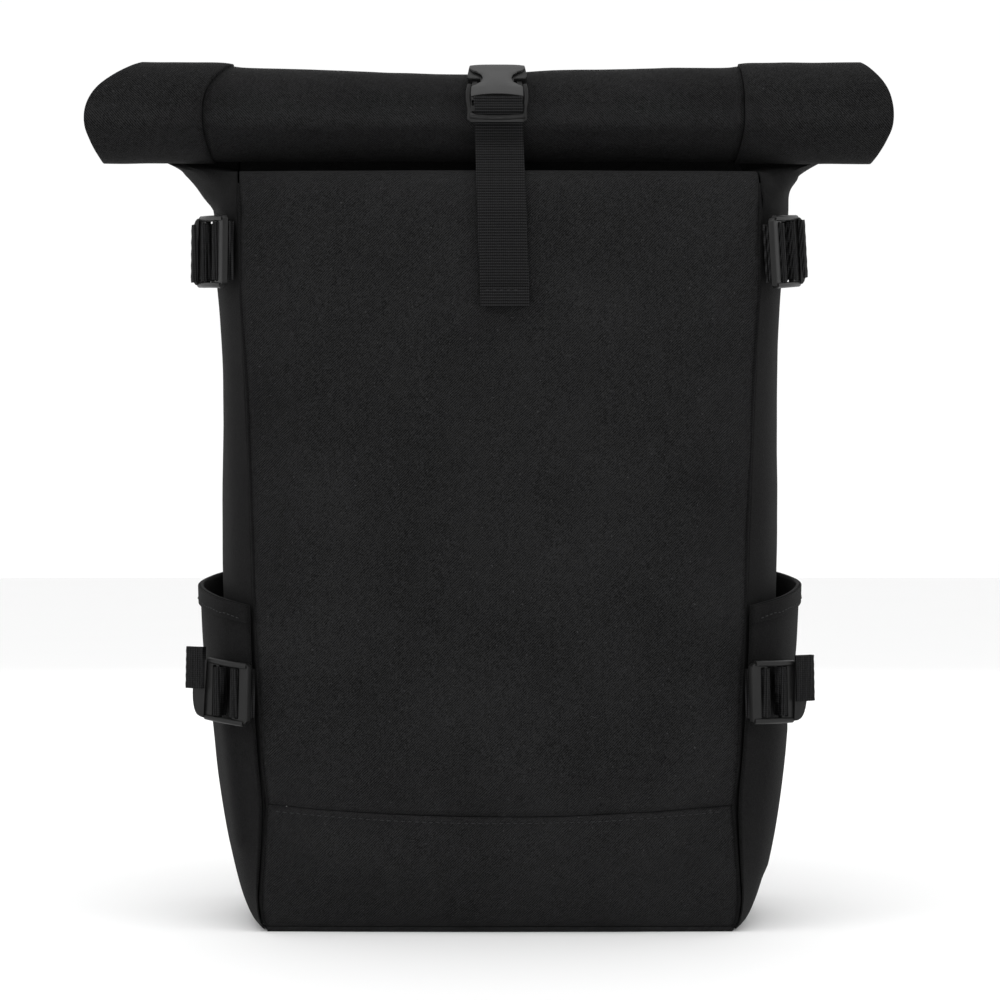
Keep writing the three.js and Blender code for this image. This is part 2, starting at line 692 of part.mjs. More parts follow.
function makeSideStraps() {
  for (const hand of [1, -1]) {
    makeSideStrap(hand, {
      name: 'lower', height: lowerStrapHeight, web: lowerWeb, length: lowerLockLength,
      middle: lowerLockMiddle, facing: lowerLockFacing, tilt: 0.03, stand: lockStand, climb: 0,
      liftAt: (back, level) => pocketLift(back, level) + pocketWall,
      strapFrom: 0.25, strapLift: 1.7, tab: 8, tabLift: 3.2, tabClimb: 9, tabDrop: 0,
    });
    makeSideStrap(hand, {
      name: 'upper', height: upperStrapHeight, web: upperWeb, length: upperLockLength,
      middle: upperLockMiddle - (hand > 0 ? upperLockForward : 0), facing: upperLockFacing,
      tilt: hand > 0 ? 0.15 : 0.03, stand: lockStand, climb: 8, liftAt: () => 0,
      strapFrom: 0.26, strapLift: 1.9, tab: 4, tabLift: 3.2, tabClimb: 0, tabDrop: 2.4,
    });
  }
}

// Back pad, shoulder straps with their webbing, and the haul loop
function makeCarrying() {
  const backFace = bodySide.depth + backCrown;
  const padFront = backFace + webClear;
  const padCols = 8;
  const round = (i) => (1 - Math.abs(2 * i - 1) ** 5);
  const padAt = (thick) => (i, j) => new THREE.Vector3(
    lerp(-padWidth / 2, padWidth / 2, i),
    padFront + thick * (0.35 + 0.65 * Math.min(round(i), round(j)) ** 0.5),
    lerp(padBottom, padBottom + padHeight, j),
  );
  addPiece('back_pad', sheet(padAt(padThick), padAt(0), padCols, 10), cloth);

  const padBack = padFront + padThick;
  const padTop = padBottom + padHeight;
  const strapTop = padTop - 6;
  const route = [
    { x: 0.04, out: 1.8, up: 0.03 },
    { x: 0.16, out: 3.1, up: 0.16 },
    { x: 0.32, out: 3.7, up: 0.32 },
    { x: 0.52, out: 3.5, up: 0.48 },
    { x: 0.7, out: 2.7, up: 0.62 },
    { x: 0.8, out: 2.2, up: 0.72 },
  ];
  const reachX = padWidth / 2 + 8 - strapSpread;
  const reachUp = strapTop - padBottom;
  const sewnUp = padTop + strapPadThick + 1;
  const sewnOut = backFace + webClear + strapPadThick / 2;
  for (const [hand, name] of [[1, 'right'], [-1, 'left']]) {
    const place = ({ x, out, up }) => new THREE.Vector3(
      hand * (strapSpread + x * reachX),
      padBack + (out - 1) * strapPadThick + strapPadThick / 2 + webClear,
      strapTop - up * reachUp,
    );
    const middle = [
      new THREE.Vector3(hand * strapSpread, sewnOut, sewnUp + strapPadThick * 0.6),
      new THREE.Vector3(hand * strapSpread, sewnOut + 1.5, sewnUp),
      ...route.map(place),
    ];
    const taper = (share) => strapPadWidth * lerp(1, 0.72, share);
    addPiece(`shoulder_strap_${name}`, ribbon(middle, xAxis, taper, strapPadThick), cloth);

    const inner = shifted(middle, xAxis, strapPadThick / 2 + webClear + webbing / 2);
    const footX = padWidth / 2 + frontWeb / 2 + 1.5;
    const footAt = (height, lift) => {
      const level = levelOf(height);
      const half = rowAt(level).front;
      const turn = 2 + (half - hand * footX) / (2 * half);
      return onBag(turn, level, lift);
    };
    const last = inner.length - 1;
    const start = inner[last - 1].clone().lerp(inner[last], 0.4);
    const web = [
      start,
      inner[last],
      inner[last].clone().lerp(footAt(padBottom + 16, padThick), 0.5).add(new THREE.Vector3(0, 3, 0)),
      footAt(padBottom + 12, padThick * 0.8),
      footAt(padBottom - 2, webClear + webbing / 2 + 0.5),
      footAt(padBottom - 14, webClear + webbing / 2 + 0.3),
    ];
    addPiece(`shoulder_web_${name}`, ribbon(web, xAxis, same(frontWeb), webbing), webCloth);
  }

  const haulFoot = sewnUp + strapPadThick + 4;
  const haul = [];
  const steps = 10;
  for (let k = 0; k <= steps; k++) {
    const angle = (Math.PI * k) / steps;
    const x = (-Math.cos(angle) * haulSpan) / 2;
    const rise = Math.sin(angle) ** 0.7;
    haul.push(new THREE.Vector3(x, backFace + 0.6 + haulWeb / 2, haulFoot + rise * haulRise));
  }
  const yAxis = new THREE.Vector3(0, 1, 0);
  addPiece('haul_loop', ribbon(haul, yAxis, same(haulWeb), webbing * 2), webCloth);
}

makeBody();
makePockets();
makeRoll();
makeFrontStrap();
makeSideStraps();
makeCarrying();

export default backpack;
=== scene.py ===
"""Looks of the rolltop backpack: canvas panels, rolled top, pockets, webbing and hardware."""

import math

import bmesh
import bpy
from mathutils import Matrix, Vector, noise
from mathutils.bvhtree import BVHTree


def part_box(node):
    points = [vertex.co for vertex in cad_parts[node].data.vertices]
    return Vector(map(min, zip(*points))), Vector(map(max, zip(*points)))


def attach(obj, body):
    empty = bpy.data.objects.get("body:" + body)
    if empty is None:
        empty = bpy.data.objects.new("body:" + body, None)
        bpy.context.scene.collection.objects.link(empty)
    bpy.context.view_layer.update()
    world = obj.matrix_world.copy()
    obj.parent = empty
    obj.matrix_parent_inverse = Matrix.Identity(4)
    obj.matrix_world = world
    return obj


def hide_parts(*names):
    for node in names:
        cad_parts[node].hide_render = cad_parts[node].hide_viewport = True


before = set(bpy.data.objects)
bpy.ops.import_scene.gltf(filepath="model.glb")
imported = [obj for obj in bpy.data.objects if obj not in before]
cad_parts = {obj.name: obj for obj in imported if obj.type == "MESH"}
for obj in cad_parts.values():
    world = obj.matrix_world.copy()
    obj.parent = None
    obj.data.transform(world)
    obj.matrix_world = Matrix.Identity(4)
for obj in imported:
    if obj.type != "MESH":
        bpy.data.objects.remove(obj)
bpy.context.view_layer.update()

bl_info = {
    "name": "Rolltop backpack",
    "version": (1, 0, 0),
    "blender": (4, 5, 0),
    "location": "View3D > Sidebar > Backpack",
    "description": "Models the canvas, webbing and hardware of a rolltop backpack",
    "category": "Add Mesh",
}

BODY = "root"
# Which way each hand's side lies along x
HANDS = {"left": -1, "right": 1}
MM = 0.001
ROLL_RADIUS = 27.0 * MM
SAME_PLACE = 0.02 * MM
QUAD_ANGLE = math.radians(60)
SHORTEST_RUNG = 15 * MM
CLOTH_LEVELS = 3
WALL_CREASE = 1.0
PAD_CREASE = 0.35


class BackpackSizes(bpy.types.PropertyGroup):
    """Sizes of the cloth and webbing that a user would change."""

    wrinkle: bpy.props.FloatProperty(
        name="Wrinkle depth", description="Depth of the soft folds in the canvas", default=0.9 * MM,
        unit="LENGTH",
    )
    rib_pitch: bpy.props.FloatProperty(
        name="Rib pitch", description="Distance between the ribs woven across the webbing", default=1.45 * MM,
        unit="LENGTH",
    )
    rib_height: bpy.props.FloatProperty(
        name="Rib height", description="Height of the ribs woven across the webbing", default=0.25 * MM,
        unit="LENGTH",
    )
    stitch_length: bpy.props.FloatProperty(
        name="Stitch length", description="Length of one stitch", default=2.6 * MM, unit="LENGTH",
    )
    stitch_gap: bpy.props.FloatProperty(
        name="Stitch gap", description="Gap between two stitches", default=1.0 * MM, unit="LENGTH",
    )
    stitch_thick: bpy.props.FloatProperty(
        name="Stitch thickness", description="Thickness of the thread", default=0.55 * MM, unit="LENGTH",
    )


class BackpackColours(bpy.types.PropertyGroup):
    """Colours of the finishes."""

    canvas: bpy.props.FloatVectorProperty(
        name="Canvas", description="Colour of the canvas panels", subtype="COLOR", size=3,
        default=(0.0112, 0.0112, 0.0115), min=0, max=1,
    )
    webbing: bpy.props.FloatVectorProperty(
        name="Webbing", description="Colour of the webbing", subtype="COLOR", size=3,
        default=(0.0058, 0.0058, 0.006), min=0, max=1,
    )
    plastic: bpy.props.FloatVectorProperty(
        name="Plastic", description="Colour of the buckles and locks", subtype="COLOR", size=3,
        default=(0.016, 0.016, 0.016), min=0, max=1,
    )
    floor: bpy.props.FloatVectorProperty(
        name="Floor", description="Colour of the studio floor", subtype="COLOR", size=3,
        default=(0.92, 0.92, 0.92), min=0, max=1,
    )


ROLL_LOW, ROLL_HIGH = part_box("roll_centre")


def roll_axis():
    """The y and z of the roll's middle line."""
    return (ROLL_LOW.y + ROLL_HIGH.y) / 2, (ROLL_LOW.z + ROLL_HIGH.z) / 2


# Shader expressions


class Wire:
    """A socket of a material's node tree, with arithmetic that adds Math nodes."""

    def __init__(self, tree, socket):
        self.tree = tree
        self.socket = socket

    def node(self, kind, settings=None, inputs=None, output=0):
        """A new node with its settings and inputs, as the wire out of one of its outputs."""
        made = self.tree.nodes.new(kind)
        for key, value in (settings or {}).items():
            setattr(made, key, value)
        for key, value in (inputs or {}).items():
            if isinstance(value, Wire):
                self.tree.links.new(value.socket, made.inputs[key])
            else:
                made.inputs[key].default_value = value
        return Wire(self.tree, made.outputs[output])

    def math(self, operation, *values):
        return self.node("ShaderNodeMath", {"operation": operation}, dict(enumerate(values)))

    def __add__(self, other):
        return self.math("ADD", self, other)

    def __sub__(self, other):
        return self.math("SUBTRACT", self, other)

    def __rsub__(self, other):
        return self.math("SUBTRACT", other, self)

    def __mul__(self, other):
        return self.math("MULTIPLY", self, other)

    def parts(self):
        """The x, y and z of a place."""
        split = self.node("ShaderNodeSeparateXYZ", None, {"Vector": self})
        return tuple(Wire(self.tree, split.socket.node.outputs[k]) for k in range(3))

    def mix(self, low, high):
        """A colour from low to high by this value."""
        return self.node(
            "ShaderNodeMix", {"data_type": "RGBA"}, {0: self, 6: colour_of(low), 7: colour_of(high)}, 2
        )


def colour_of(value):
    """A colour with its alpha, or the wire that brings one."""
    if isinstance(value, Wire) or len(value) == 4:
        return value
    return (*value, 1.0)


def new_material(name):
    """A new finish with its shader and the place of each point."""
    material = bpy.data.materials.new(f"{name}_finish")
    material.use_nodes = True
    tree = material.node_tree
    shader = tree.nodes["Principled BSDF"]
    start = Wire(tree, None)
    place = start.node("ShaderNodeTexCoord", output=3)
    return material, shader, place


def feed(shader, name, value):
    """Sets a shader's input, or links the wire that varies it."""
    if isinstance(value, Wire):
        value.tree.links.new(value.socket, shader.inputs[name])
    else:
        shader.inputs[name].default_value = value


def noise_at(place, scale, detail=3.0, rough=0.55):
    return place.node(
        "ShaderNodeTexNoise", {"noise_dimensions": "3D"},
        {"Vector": place, "Scale": scale, "Detail": detail, "Roughness": rough},
    )


def bumped(height, strength, distance):
    return height.node(
        "ShaderNodeBump", None, {"Strength": strength, "Distance": distance, "Height": height}
    )


def scaled(colour, factor):
    return tuple(min(channel * factor, 1.0) for channel in colour)


def laid_flat(place):
    """Places on the front and back cloth: across, and down it."""
    x, _, z = place.parts()
    return x, 0.0 - z


def laid_round_side(place):
    """Places on the side cloth, which turns round from the front."""
    x, y, z = place.parts()
    return x.math("ABSOLUTE", x) + y, 0.0 - z


def laid_round_roll(place):
    """Places on the rolled cloth: along the roll, and round it."""
    x, y, z = place.parts()
    middle_y, middle_z = roll_axis()
    return x, z.math("ARCTAN2", z - middle_z, middle_y - y) * ROLL_RADIUS


def laid_over_roll(place):
    """Places along the strap over the roll: round it, then straight down behind it."""
    x, round_it = laid_round_roll(place)
    _, y, z = place.parts()
    middle_y, middle_z = roll_axis()
    low_back = y.math("GREATER_THAN", y, middle_y) * z.math("LESS_THAN", z, middle_z)
    straight = (middle_z - z) + math.pi * ROLL_RADIUS
    return x, round_it * (1.0 - low_back) + straight * low_back


def steep(value, gain, middle=0.5):
    """More contrast about a middle value."""
    return (value - middle) * gain + 0.5


def wave(value, pitch):
    """A sine from 0 to 1 along a value in metres."""
    return value.math("SINE", value * (2 * math.pi / pitch)) * 0.5 + 0.5


def canvas_finish(name="canvas", lay=laid_flat, tint_and_painted_shade=0.96, contrast=2.7):
    """Black twill: diagonal ribs, crossing yarns, cloudy wear and pale specks of lint, all scaled by a tint
    that on the sides is painted shade.
    """
    colours = bpy.context.scene.backpack_colours
    material, shader, place = new_material(name)
    across, down = lay(place)
    drift = noise_at(place, 90.0, 2.0, 0.5) * (2.0 * MM)
    rib = wave(across + down + drift, 1.35 * MM)
    cross = wave(across - down + drift, 0.95 * MM)
    yarn = steep(noise_at(place, 1250.0, 2.0, 0.6), 2.2)
    nap = steep(noise_at(place, 330.0, 3.0, 0.65), 1.8)
    cloud = steep(noise_at(place, 17.0, 4.0, 0.55), 1.3)
    tone = steep(cloud * 0.16 + nap * 0.12 + yarn * 0.3 + rib * 0.28 + cross * 0.14, contrast)
    specks = noise_at(place, 820.0, 1.0, 0.5)
    lint = specks.math("GREATER_THAN", specks, 0.75)
    # The tint scales the whole cloth; where it is low, on the sides, it is painted shade.
    cloth = tone.mix(scaled(colours.canvas, 0.02 * tint_and_painted_shade), scaled(colours.canvas, 1.66 * tint_and_painted_shade))
    feed(shader, "Base Color", lint.mix(cloth, scaled(colours.canvas, 2.4 * tint_and_painted_shade)))
    feed(shader, "Roughness", 0.8)
    feed(shader, "Specular IOR Level", 0.06)
    feed(shader, "Sheen Weight", 0.01)
    feed(shader, "Sheen Roughness", 0.5)
    feed(shader, "Normal", bumped(yarn * 0.3 + rib * 0.5 + cross * 0.2, 0.7, 0.25 * MM))
    return material


# The sides' canvas: the same cloth painted at less than half the front's brightness, as painted shade on the
# sides that turn away from the light.
def shaded_side_canvas_finish():
    return canvas_finish("shaded_side_canvas", laid_round_side, 0.42, 4.0)


def roll_canvas_finish():
    return canvas_finish("roll_canvas", laid_round_roll, 0.88, 3.4)


def webbing_finish(name="webbing", lay=laid_flat, hanging=True):
    """Ribbed webbing: ribs across the strap, each broken into yarns."""
    colours = bpy.context.scene.backpack_colours
    sizes = bpy.context.scene.backpack_sizes
    material, shader, place = new_material(name)
    across, down = lay(place)
    along, aside = (down, across) if hanging else (across, down)
    rib = wave(along, sizes.rib_pitch)
    yarn = wave(aside + rib * (0.3 * MM), 1.1 * MM)
    fibre = steep(noise_at(place, 1900.0, 2.0, 0.6), 1.8)
    tone = steep(rib * 0.5 + yarn * 0.3 + fibre * 0.2, 1.7, 0.54)
    feed(shader, "Base Color", tone.mix(scaled(colours.webbing, 0.05), scaled(colours.webbing, 2.9)))
    feed(shader, "Roughness", 0.62)
    feed(shader, "Specular IOR Level", 0.07)
    feed(shader, "Normal", bumped(rib * 0.7 + yarn * 0.3, 0.8, 0.4 * MM))
    return material


def side_webbing_finish():
    return webbing_finish("side_webbing", laid_round_side, False)


def roll_webbing_finish():
    return webbing_finish("roll_webbing", laid_over_roll, True)


def thread_finish():
    """Black twisted thread, a little paler than the cloth."""
    colours = bpy.context.scene.backpack_colours
    material, shader, place = new_material("thread")
    twist = noise_at(place, 2600.0, 1.0, 0.5)
    feed(shader, "Base Color", twist.mix(scaled(colours.webbing, 2.2), scaled(colours.webbing, 4.4)))
    feed(shader, "Roughness", 0.7)
    feed(shader, "Specular IOR Level", 0.15)
    feed(shader, "Normal", bumped(twist, 0.4, 0.1 * MM))
    return material


def lit_plastic_finish():
    """The buckle's face: moulded acetal with a fine spark-eroded grain and faint handling marks, painted far
    lighter than the other mouldings of the same plastic as a painted highlight where it faces up into the top
    light.
    """
    colours = bpy.context.scene.backpack_colours
    material, shader, place = new_material("plastic")
    grain = noise_at(place, 2400.0, 2.0, 0.5)
    wear = noise_at(place, 140.0, 4.0, 0.6)
    # Painted highlight: 1.5 to 2.3 times the plastic's colour, against 0.25 to 0.6 times on the locks and the
    # rest of the buckle.
    feed(shader, "Base Color", wear.mix(scaled(colours.plastic, 1.5), scaled(colours.plastic, 2.3)))
    feed(shader, "Roughness", wear * 0.16 + 0.42)
    feed(shader, "Specular IOR Level", 0.36)
    feed(shader, "Normal", bumped(grain, 0.18, 0.08 * MM))
    return material


def lock_finish():
    """The duller nylon of the ladder locks."""
    colours = bpy.context.scene.backpack_colours
    material, shader, place = new_material("lock_plastic")
    wear = noise_at(place, 160.0, 4.0, 0.6)
    feed(shader, "Base Color", wear.mix(scaled(colours.plastic, 0.25), scaled(colours.plastic, 0.6)))
    feed(shader, "Roughness", wear * 0.2 + 0.28)
    feed(shader, "Specular IOR Level", 0.2)
    feed(shader, "Normal", bumped(noise_at(place, 2400.0, 2.0, 0.5), 0.15, 0.08 * MM))
    return material


def pad_finish():
    """Spacer mesh on the padded pieces: small cells in a regular net, with painted shade darkening the low
    net between the raised cells.
    """
    colours = bpy.context.scene.backpack_colours
    material, shader, place = new_material("pad_mesh")
    cells = place.node(
        "ShaderNodeTexVoronoi", {"feature": "F1"}, {"Vector": place, "Scale": 330.0, "Randomness": 0.25}
    )
    cloud = noise_at(place, 40.0, 3.0, 0.6)
    # Painted shade: the colour darkens towards the cells' edges, where the bump sinks.
    tone = cells * 0.9 + cloud * 0.4
    feed(shader, "Base Color", tone.mix(scaled(colours.canvas, 1.5), scaled(colours.canvas, 0.4)))
    feed(shader, "Roughness", 0.85)
    feed(shader, "Specular IOR Level", 0.1)
    feed(shader, "Sheen Weight", 0.02)
    feed(shader, "Normal", bumped(1.0 - cells, 0.8, 0.6 * MM))
    return material


FINISHES = {
    "canvas": canvas_finish,
    "shaded_side_canvas": shaded_side_canvas_finish,
    "roll_canvas": roll_canvas_finish,
    "webbing": webbing_finish,
    "side_webbing": side_webbing_finish,
    "roll_webbing": roll_webbing_finish,
    "thread": thread_finish,
    "plastic": lit_plastic_finish,
    "lock_plastic": lock_finish,
    "pad_mesh": pad_finish,
}


def finish_of(name):
    """A finish, made the first time that a piece asks for it."""
    return bpy.data.materials.get(f"{name}_finish") or FINISHES[name]()


# Helpers for modelling


def clamped(value):
    return max(0.0, min(1.0, value))


def steps_across(count):
    """Evenly spaced shares from -1 to 1."""
    return [2 * k / count - 1 for k in range(count + 1)]


def linked(name, data):
    """A new object in the scene."""
    piece = bpy.data.objects.new(name, data)
    bpy.context.scene.collection.objects.link(piece)
    return piece


def deselect():
    if bpy.context.object and bpy.context.object.mode != "OBJECT":
        bpy.ops.object.mode_set(mode="OBJECT")
    bpy.ops.object.select_all(action="DESELECT")


def make_active(piece):
    deselect()
    piece.select_set(True)
    bpy.context.view_layer.objects.active = piece


def add_modifier(piece, kind, **settings):
    """Adds one modifier and applies it."""
    make_active(piece)
    modifier = piece.modifiers.new(kind.lower(), kind)
    for key, value in settings.items():
        setattr(modifier, key, value)
    bpy.ops.object.modifier_apply(modifier=modifier.name)


def copy_of_node(node, name):
    """A merged copy of a CAD solid, in quads where its triangles pair up."""
    piece = linked(name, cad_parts[node].data.copy())
    piece.data.materials.clear()
    make_active(piece)
    bpy.ops.object.mode_set(mode="EDIT")
    bpy.ops.mesh.select_all(action="SELECT")
    bpy.ops.mesh.remove_doubles(threshold=SAME_PLACE)
    bpy.ops.mesh.tris_convert_to_quads(face_threshold=QUAD_ANGLE, shape_threshold=QUAD_ANGLE)
    bpy.ops.object.mode_set(mode="OBJECT")
    return piece


def crease_rims(piece, weight):
    """Keeps the wall's own edges firm under subdivision."""
    above = math.radians(58)
    mesh = piece.data
    work = bmesh.new()
    work.from_mesh(mesh)
    layer = work.edges.layers.float.get("crease_edge") or work.edges.layers.float.new("crease_edge")
    for edge in work.edges:
        if len(edge.link_faces) == 2 and edge.calc_face_angle(0) > above:
            edge[layer] = weight
    work.to_mesh(mesh)
    work.free()


def smooth_all(piece):
    """Shades every face smoothly."""
    make_active(piece)
    bpy.ops.object.shade_smooth()


def settle(piece, slot, finish, *nodes):
    """Gives a finished piece its material, its body and the CAD nodes that it stands for."""
    piece.data.materials.clear()
    piece.data.materials.append(finish_of(finish))
    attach(piece, BODY)
    if nodes:
        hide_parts(*nodes)
    return piece


def displace(piece, field):
    """Moves each vertex by the vector that the field gives for its place."""
    for vertex in piece.data.vertices:
        vertex.co += field(vertex.co)
    piece.data.update()


def bump_at(value, middle, width):
    return math.exp(-(((value - middle) / width) ** 2))


def soft_noise(place, size, seed=0.0):
    return noise.noise(Vector((place.x / size + seed, place.y / size - seed, place.z / size + 2 * seed)))


def hit(tree, start, direction):
    """The first place that a ray meets, with the cloth's normal turned towards it."""
    place, normal, _, _ = tree.ray_cast(Vector(start), Vector(direction))
    if place is None:
        raise RuntimeError(f"no cloth lies under {tuple(start)}")
    if normal.dot(Vector(direction)) > 0:
        normal = -normal
    return place, normal


def along_edge(edge):
    return edge.verts[1].co - edge.verts[0].co


def is_rung(edge, axis):
    """Whether an edge runs across a strap: along the axis, and longer than its wall."""
    return abs(along_edge(edge).normalized()[axis]) > 0.94 and edge.calc_length() > SHORTEST_RUNG


def solid_of_rungs(node, axis):
    """The middle line of a CAD strap, its half widths across and its thickness.

    A strap's solid is a row of four-cornered sections, so the edges that run along the
    given axis come in two equal rows, one on each face, and meet at the two end faces.
    """
    work = bmesh.new()
    work.from_mesh(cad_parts[node].data)
    bmesh.ops.remove_doubles(work, verts=work.verts, dist=SAME_PLACE)
    bmesh.ops.dissolve_limit(
        work, angle_limit=math.radians(0.3), verts=work.verts, edges=work.edges, delimit={"NORMAL"}
    )
    bmesh.ops.join_triangles(
        work, faces=work.faces, angle_face_threshold=math.pi, angle_shape_threshold=math.pi
    )
    rungs = [edge for edge in work.edges if is_rung(edge, axis)]
    kept = set(rungs)
    links = {edge: [] for edge in rungs}
    for face in work.faces:
        pair = [edge for edge in face.edges if edge in kept]
        if len(pair) == 2:
            links[pair[0]].append(pair[1])
            links[pair[1]].append(pair[0])
    middle = {edge: (edge.verts[0].co + edge.verts[1].co) / 2 for edge in rungs}
    half = {}
    for edge in rungs:
        span = along_edge(edge) / 2
        half[edge] = span if span[axis] > 0 else -span
    ring = [rungs[0]]
    while True:
        onward = [e for e in links[ring[-1]] if e not in ring[-2:]]
        if not onward or onward[0] is ring[0]:
            break
        ring.append(onward[0])
    count = len(ring)
    if count != len(rungs) or count % 2:
        raise RuntimeError(f"{node} isn't a plain strap: {count} of {len(rungs)} rungs")

    def straightness(start):
        total = 0.0
        for k in range(count // 2):
            total += (middle[ring[(start + k) % count]] - middle[ring[(start - 1 - k) % count]]).length
        return total

    start = min(range(count), key=straightness)
    line = []
    spans = []
    for k in range(count // 2):
        one, other = ring[(start + k) % count], ring[(start - 1 - k) % count]
        line.append((middle[one] + middle[other]) / 2)
        spans.append((half[one] + half[other]) / 2)
    thick = (middle[ring[start % count]] - middle[ring[(start - 1) % count]]).length
    work.free()
    return line, spans, thick


def softened(line, spans, reach, rounds=3):
    """Cuts the corners of a strap's middle line, never by more than reach."""
    for _ in range(rounds):
        points = [line[0]]
        widths = [spans[0]]
        for k in range(len(line) - 1):
            a, b = line[k], line[k + 1]
            length = max((b - a).length, 1e-9)
            cut = min(0.25, reach / length)
            for share in (cut, 1 - cut):
                points.append(a.lerp(b, share))
                widths.append(spans[k].lerp(spans[k + 1], share))
        points.append(line[-1])
        widths.append(spans[-1])
        line, spans = points, widths
    return line, spans


def spaced(line, spans, step):
    """The same line with a point every step along it."""
    lengths = [0.0]
    for a, b in zip(line, line[1:]):
        lengths.append(lengths[-1] + (b - a).length)
    count = max(int(lengths[-1] / step), 4)
    points = []
    widths = []
    places = []
    k = 0
    for j in range(count + 1):
        at = lengths[-1] * j / count
        while k < len(line) - 2 and lengths[k + 1] < at:
            k += 1
        share = (at - lengths[k]) / max(lengths[k + 1] - lengths[k], 1e-9)
        points.append(line[k].lerp(line[k + 1], share))
        widths.append(spans[k].lerp(spans[k + 1], share))
        places.append(at)
    return points, widths, places


def web_strip(name, line, spans, thick):
    """Webbing along a line: a grid bent to it, ribbed across and given its wall."""
    sizes = bpy.context.scene.backpack_sizes
    cols = 10
    line, spans = softened(line, spans, 1.6 * MM)
    points, widths, places = spaced(line, spans, sizes.rib_pitch / 4)
    rows = len(points) - 1
    deselect()
    bpy.ops.mesh.primitive_grid_add(x_subdivisions=cols, y_subdivisions=rows, size=1.0)
    piece = bpy.context.object
    piece.name = name
    vertices = piece.data.vertices
    for j in range(rows + 1):
        onward = (points[min(j + 1, rows)] - points[max(j - 1, 0)]).normalized()
        out = onward.cross(widths[j]).normalized()
        phase = 2 * abs(math.cos(math.pi * places[j] / sizes.rib_pitch)) - 1
        for i in range(cols + 1):
            share = 2 * i / cols - 1
            edge = 1 - abs(share) ** 10
            weave = 0.6 + 0.4 * math.cos(math.pi * 5 * share)
            rise = sizes.rib_height * phase * weave * edge
            vertices[j * (cols + 1) + i].co = points[j] + widths[j] * share + out * rise
    piece.data.update()
    add_modifier(piece, "SOLIDIFY", thickness=thick * 0.92, offset=0.0)
    sharp = math.radians(60)
    add_modifier(piece, "BEVEL", width=0.28 * MM, segments=2, limit_method="ANGLE", angle_limit=sharp)
    smooth_all(piece)
    return piece


def stitches(name, runs):
    """Rows of stitches: each run is a list of places with the cloth's normal there."""
    lift = 0.1 * MM
    sizes = bpy.context.scene.backpack_sizes
    deselect()
    bpy.ops.mesh.primitive_ico_sphere_add(subdivisions=1, radius=1.0)
    bead = bpy.context.object
    shape = [vertex.co.copy() for vertex in bead.data.vertices]
    faces = [tuple(face.vertices) for face in bead.data.polygons]
    bpy.data.objects.remove(bead)
    half = Vector((sizes.stitch_length / 2, sizes.stitch_thick * 0.55, sizes.stitch_thick / 2))
    pitch = sizes.stitch_length + sizes.stitch_gap
    points = []
    polygons = []
    for run in runs:
        lengths = [0.0]
        for (a, _), (b, _) in zip(run, run[1:]):
            lengths.append(lengths[-1] + (b - a).length)
        at = pitch / 2
        k = 0
        while at < lengths[-1] - pitch / 2:
            while k < len(run) - 2 and lengths[k + 1] < at:
                k += 1
            share = (at - lengths[k]) / max(lengths[k + 1] - lengths[k], 1e-9)
            middle = run[k][0].lerp(run[k + 1][0], share)
            out = run[k][1].lerp(run[k + 1][1], share).normalized()
            along = (run[k + 1][0] - run[k][0]).normalized()
            aside = out.cross(along).normalized()
            first = len(points)
            for corner in shape:
                bow = 1 - corner.x * corner.x
                rise = lift + half.z * (corner.z + 0.5 * bow - 0.3)
                points.append(middle + along * corner.x * half.x + aside * corner.y * half.y + out * rise)
            polygons.extend(tuple(first + index for index in face) for face in faces)
            at += pitch
    mesh = bpy.data.meshes.new(name)
    mesh.from_pydata(points, [], polygons)
    piece = linked(name, mesh)
    smooth_all(piece)
    return settle(piece, "webbing", "thread")


# The canvas panels


BASE_LOW, BASE_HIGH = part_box("base_panel")
BASE_HALF = (BASE_HIGH - BASE_LOW) / 2
BASE_BEVEL = 0.7 * MM


def outward_of_bag(place):
    """The direction out of the bag at a place."""
    return Vector((place.x / BASE_HALF.x**2, place.y / BASE_HALF.y**2, 0.0)).normalized()


def canvas_field(seed, depth):
    """Soft wrinkles of the canvas, pushed in and out of the bag."""

    def field(place):
        broad = soft_noise(place, 62 * MM, seed)
        fine = soft_noise(place, 19 * MM, seed + 5.1)
        long = noise.noise(Vector((place.x / (30 * MM), place.y / (30 * MM), place.z / (150 * MM) + seed)))
        return outward_of_bag(place) * depth * (0.7 * broad + 0.22 * fine + 0.5 * long)

    return field


def fold_between(place, start, end, width, depth):
    """Height of one soft fold along a line in the plane of x and z."""
    along = Vector((end[0] - start[0], end[1] - start[1]))
    offset = Vector((place.x - start[0], place.z - start[1]))
    share = offset.dot(along) / along.length_squared
    away = (offset - along * clamped(share)).length
    fade = math.exp(-((max(share - 1, -share, 0) * along.length / width) ** 2))
    return depth * fade * math.exp(-((away / width) ** 2))


def with_folds(field, folds, direction):
    """A field with named folds added along a direction."""

    def folded(place):
        height = sum(
            fold_between(
                place, (fold["x0"] * MM, fold["z0"] * MM), (fold["x1"] * MM, fold["z1"] * MM),
                fold["width"] * MM, fold["depth"] * MM,
            )
            for fold in folds
        )
        return field(place) + direction(place) * height

    return folded


# Folds pressed into the lower front panel, in mm from the middle of the base
LOWER_FOLDS = (
    {"x0": 50, "z0": 55, "x1": 74, "z1": 31, "width": 7, "depth": 1.7},
    {"x0": 104, "z0": 40, "x1": 88, "z1": 18, "width": 9, "depth": -0.8},
    {"x0": 30, "z0": 30, "x1": 62, "z1": 12, "width": 7, "depth": 0.9},
    {"x0": -110, "z0": 50, "x1": -64, "z1": 33, "width": 8, "depth": 1.5},
    {"x0": -100, "z0": 22, "x1": -60, "z1": 14, "width": 8, "depth": -0.9},
)
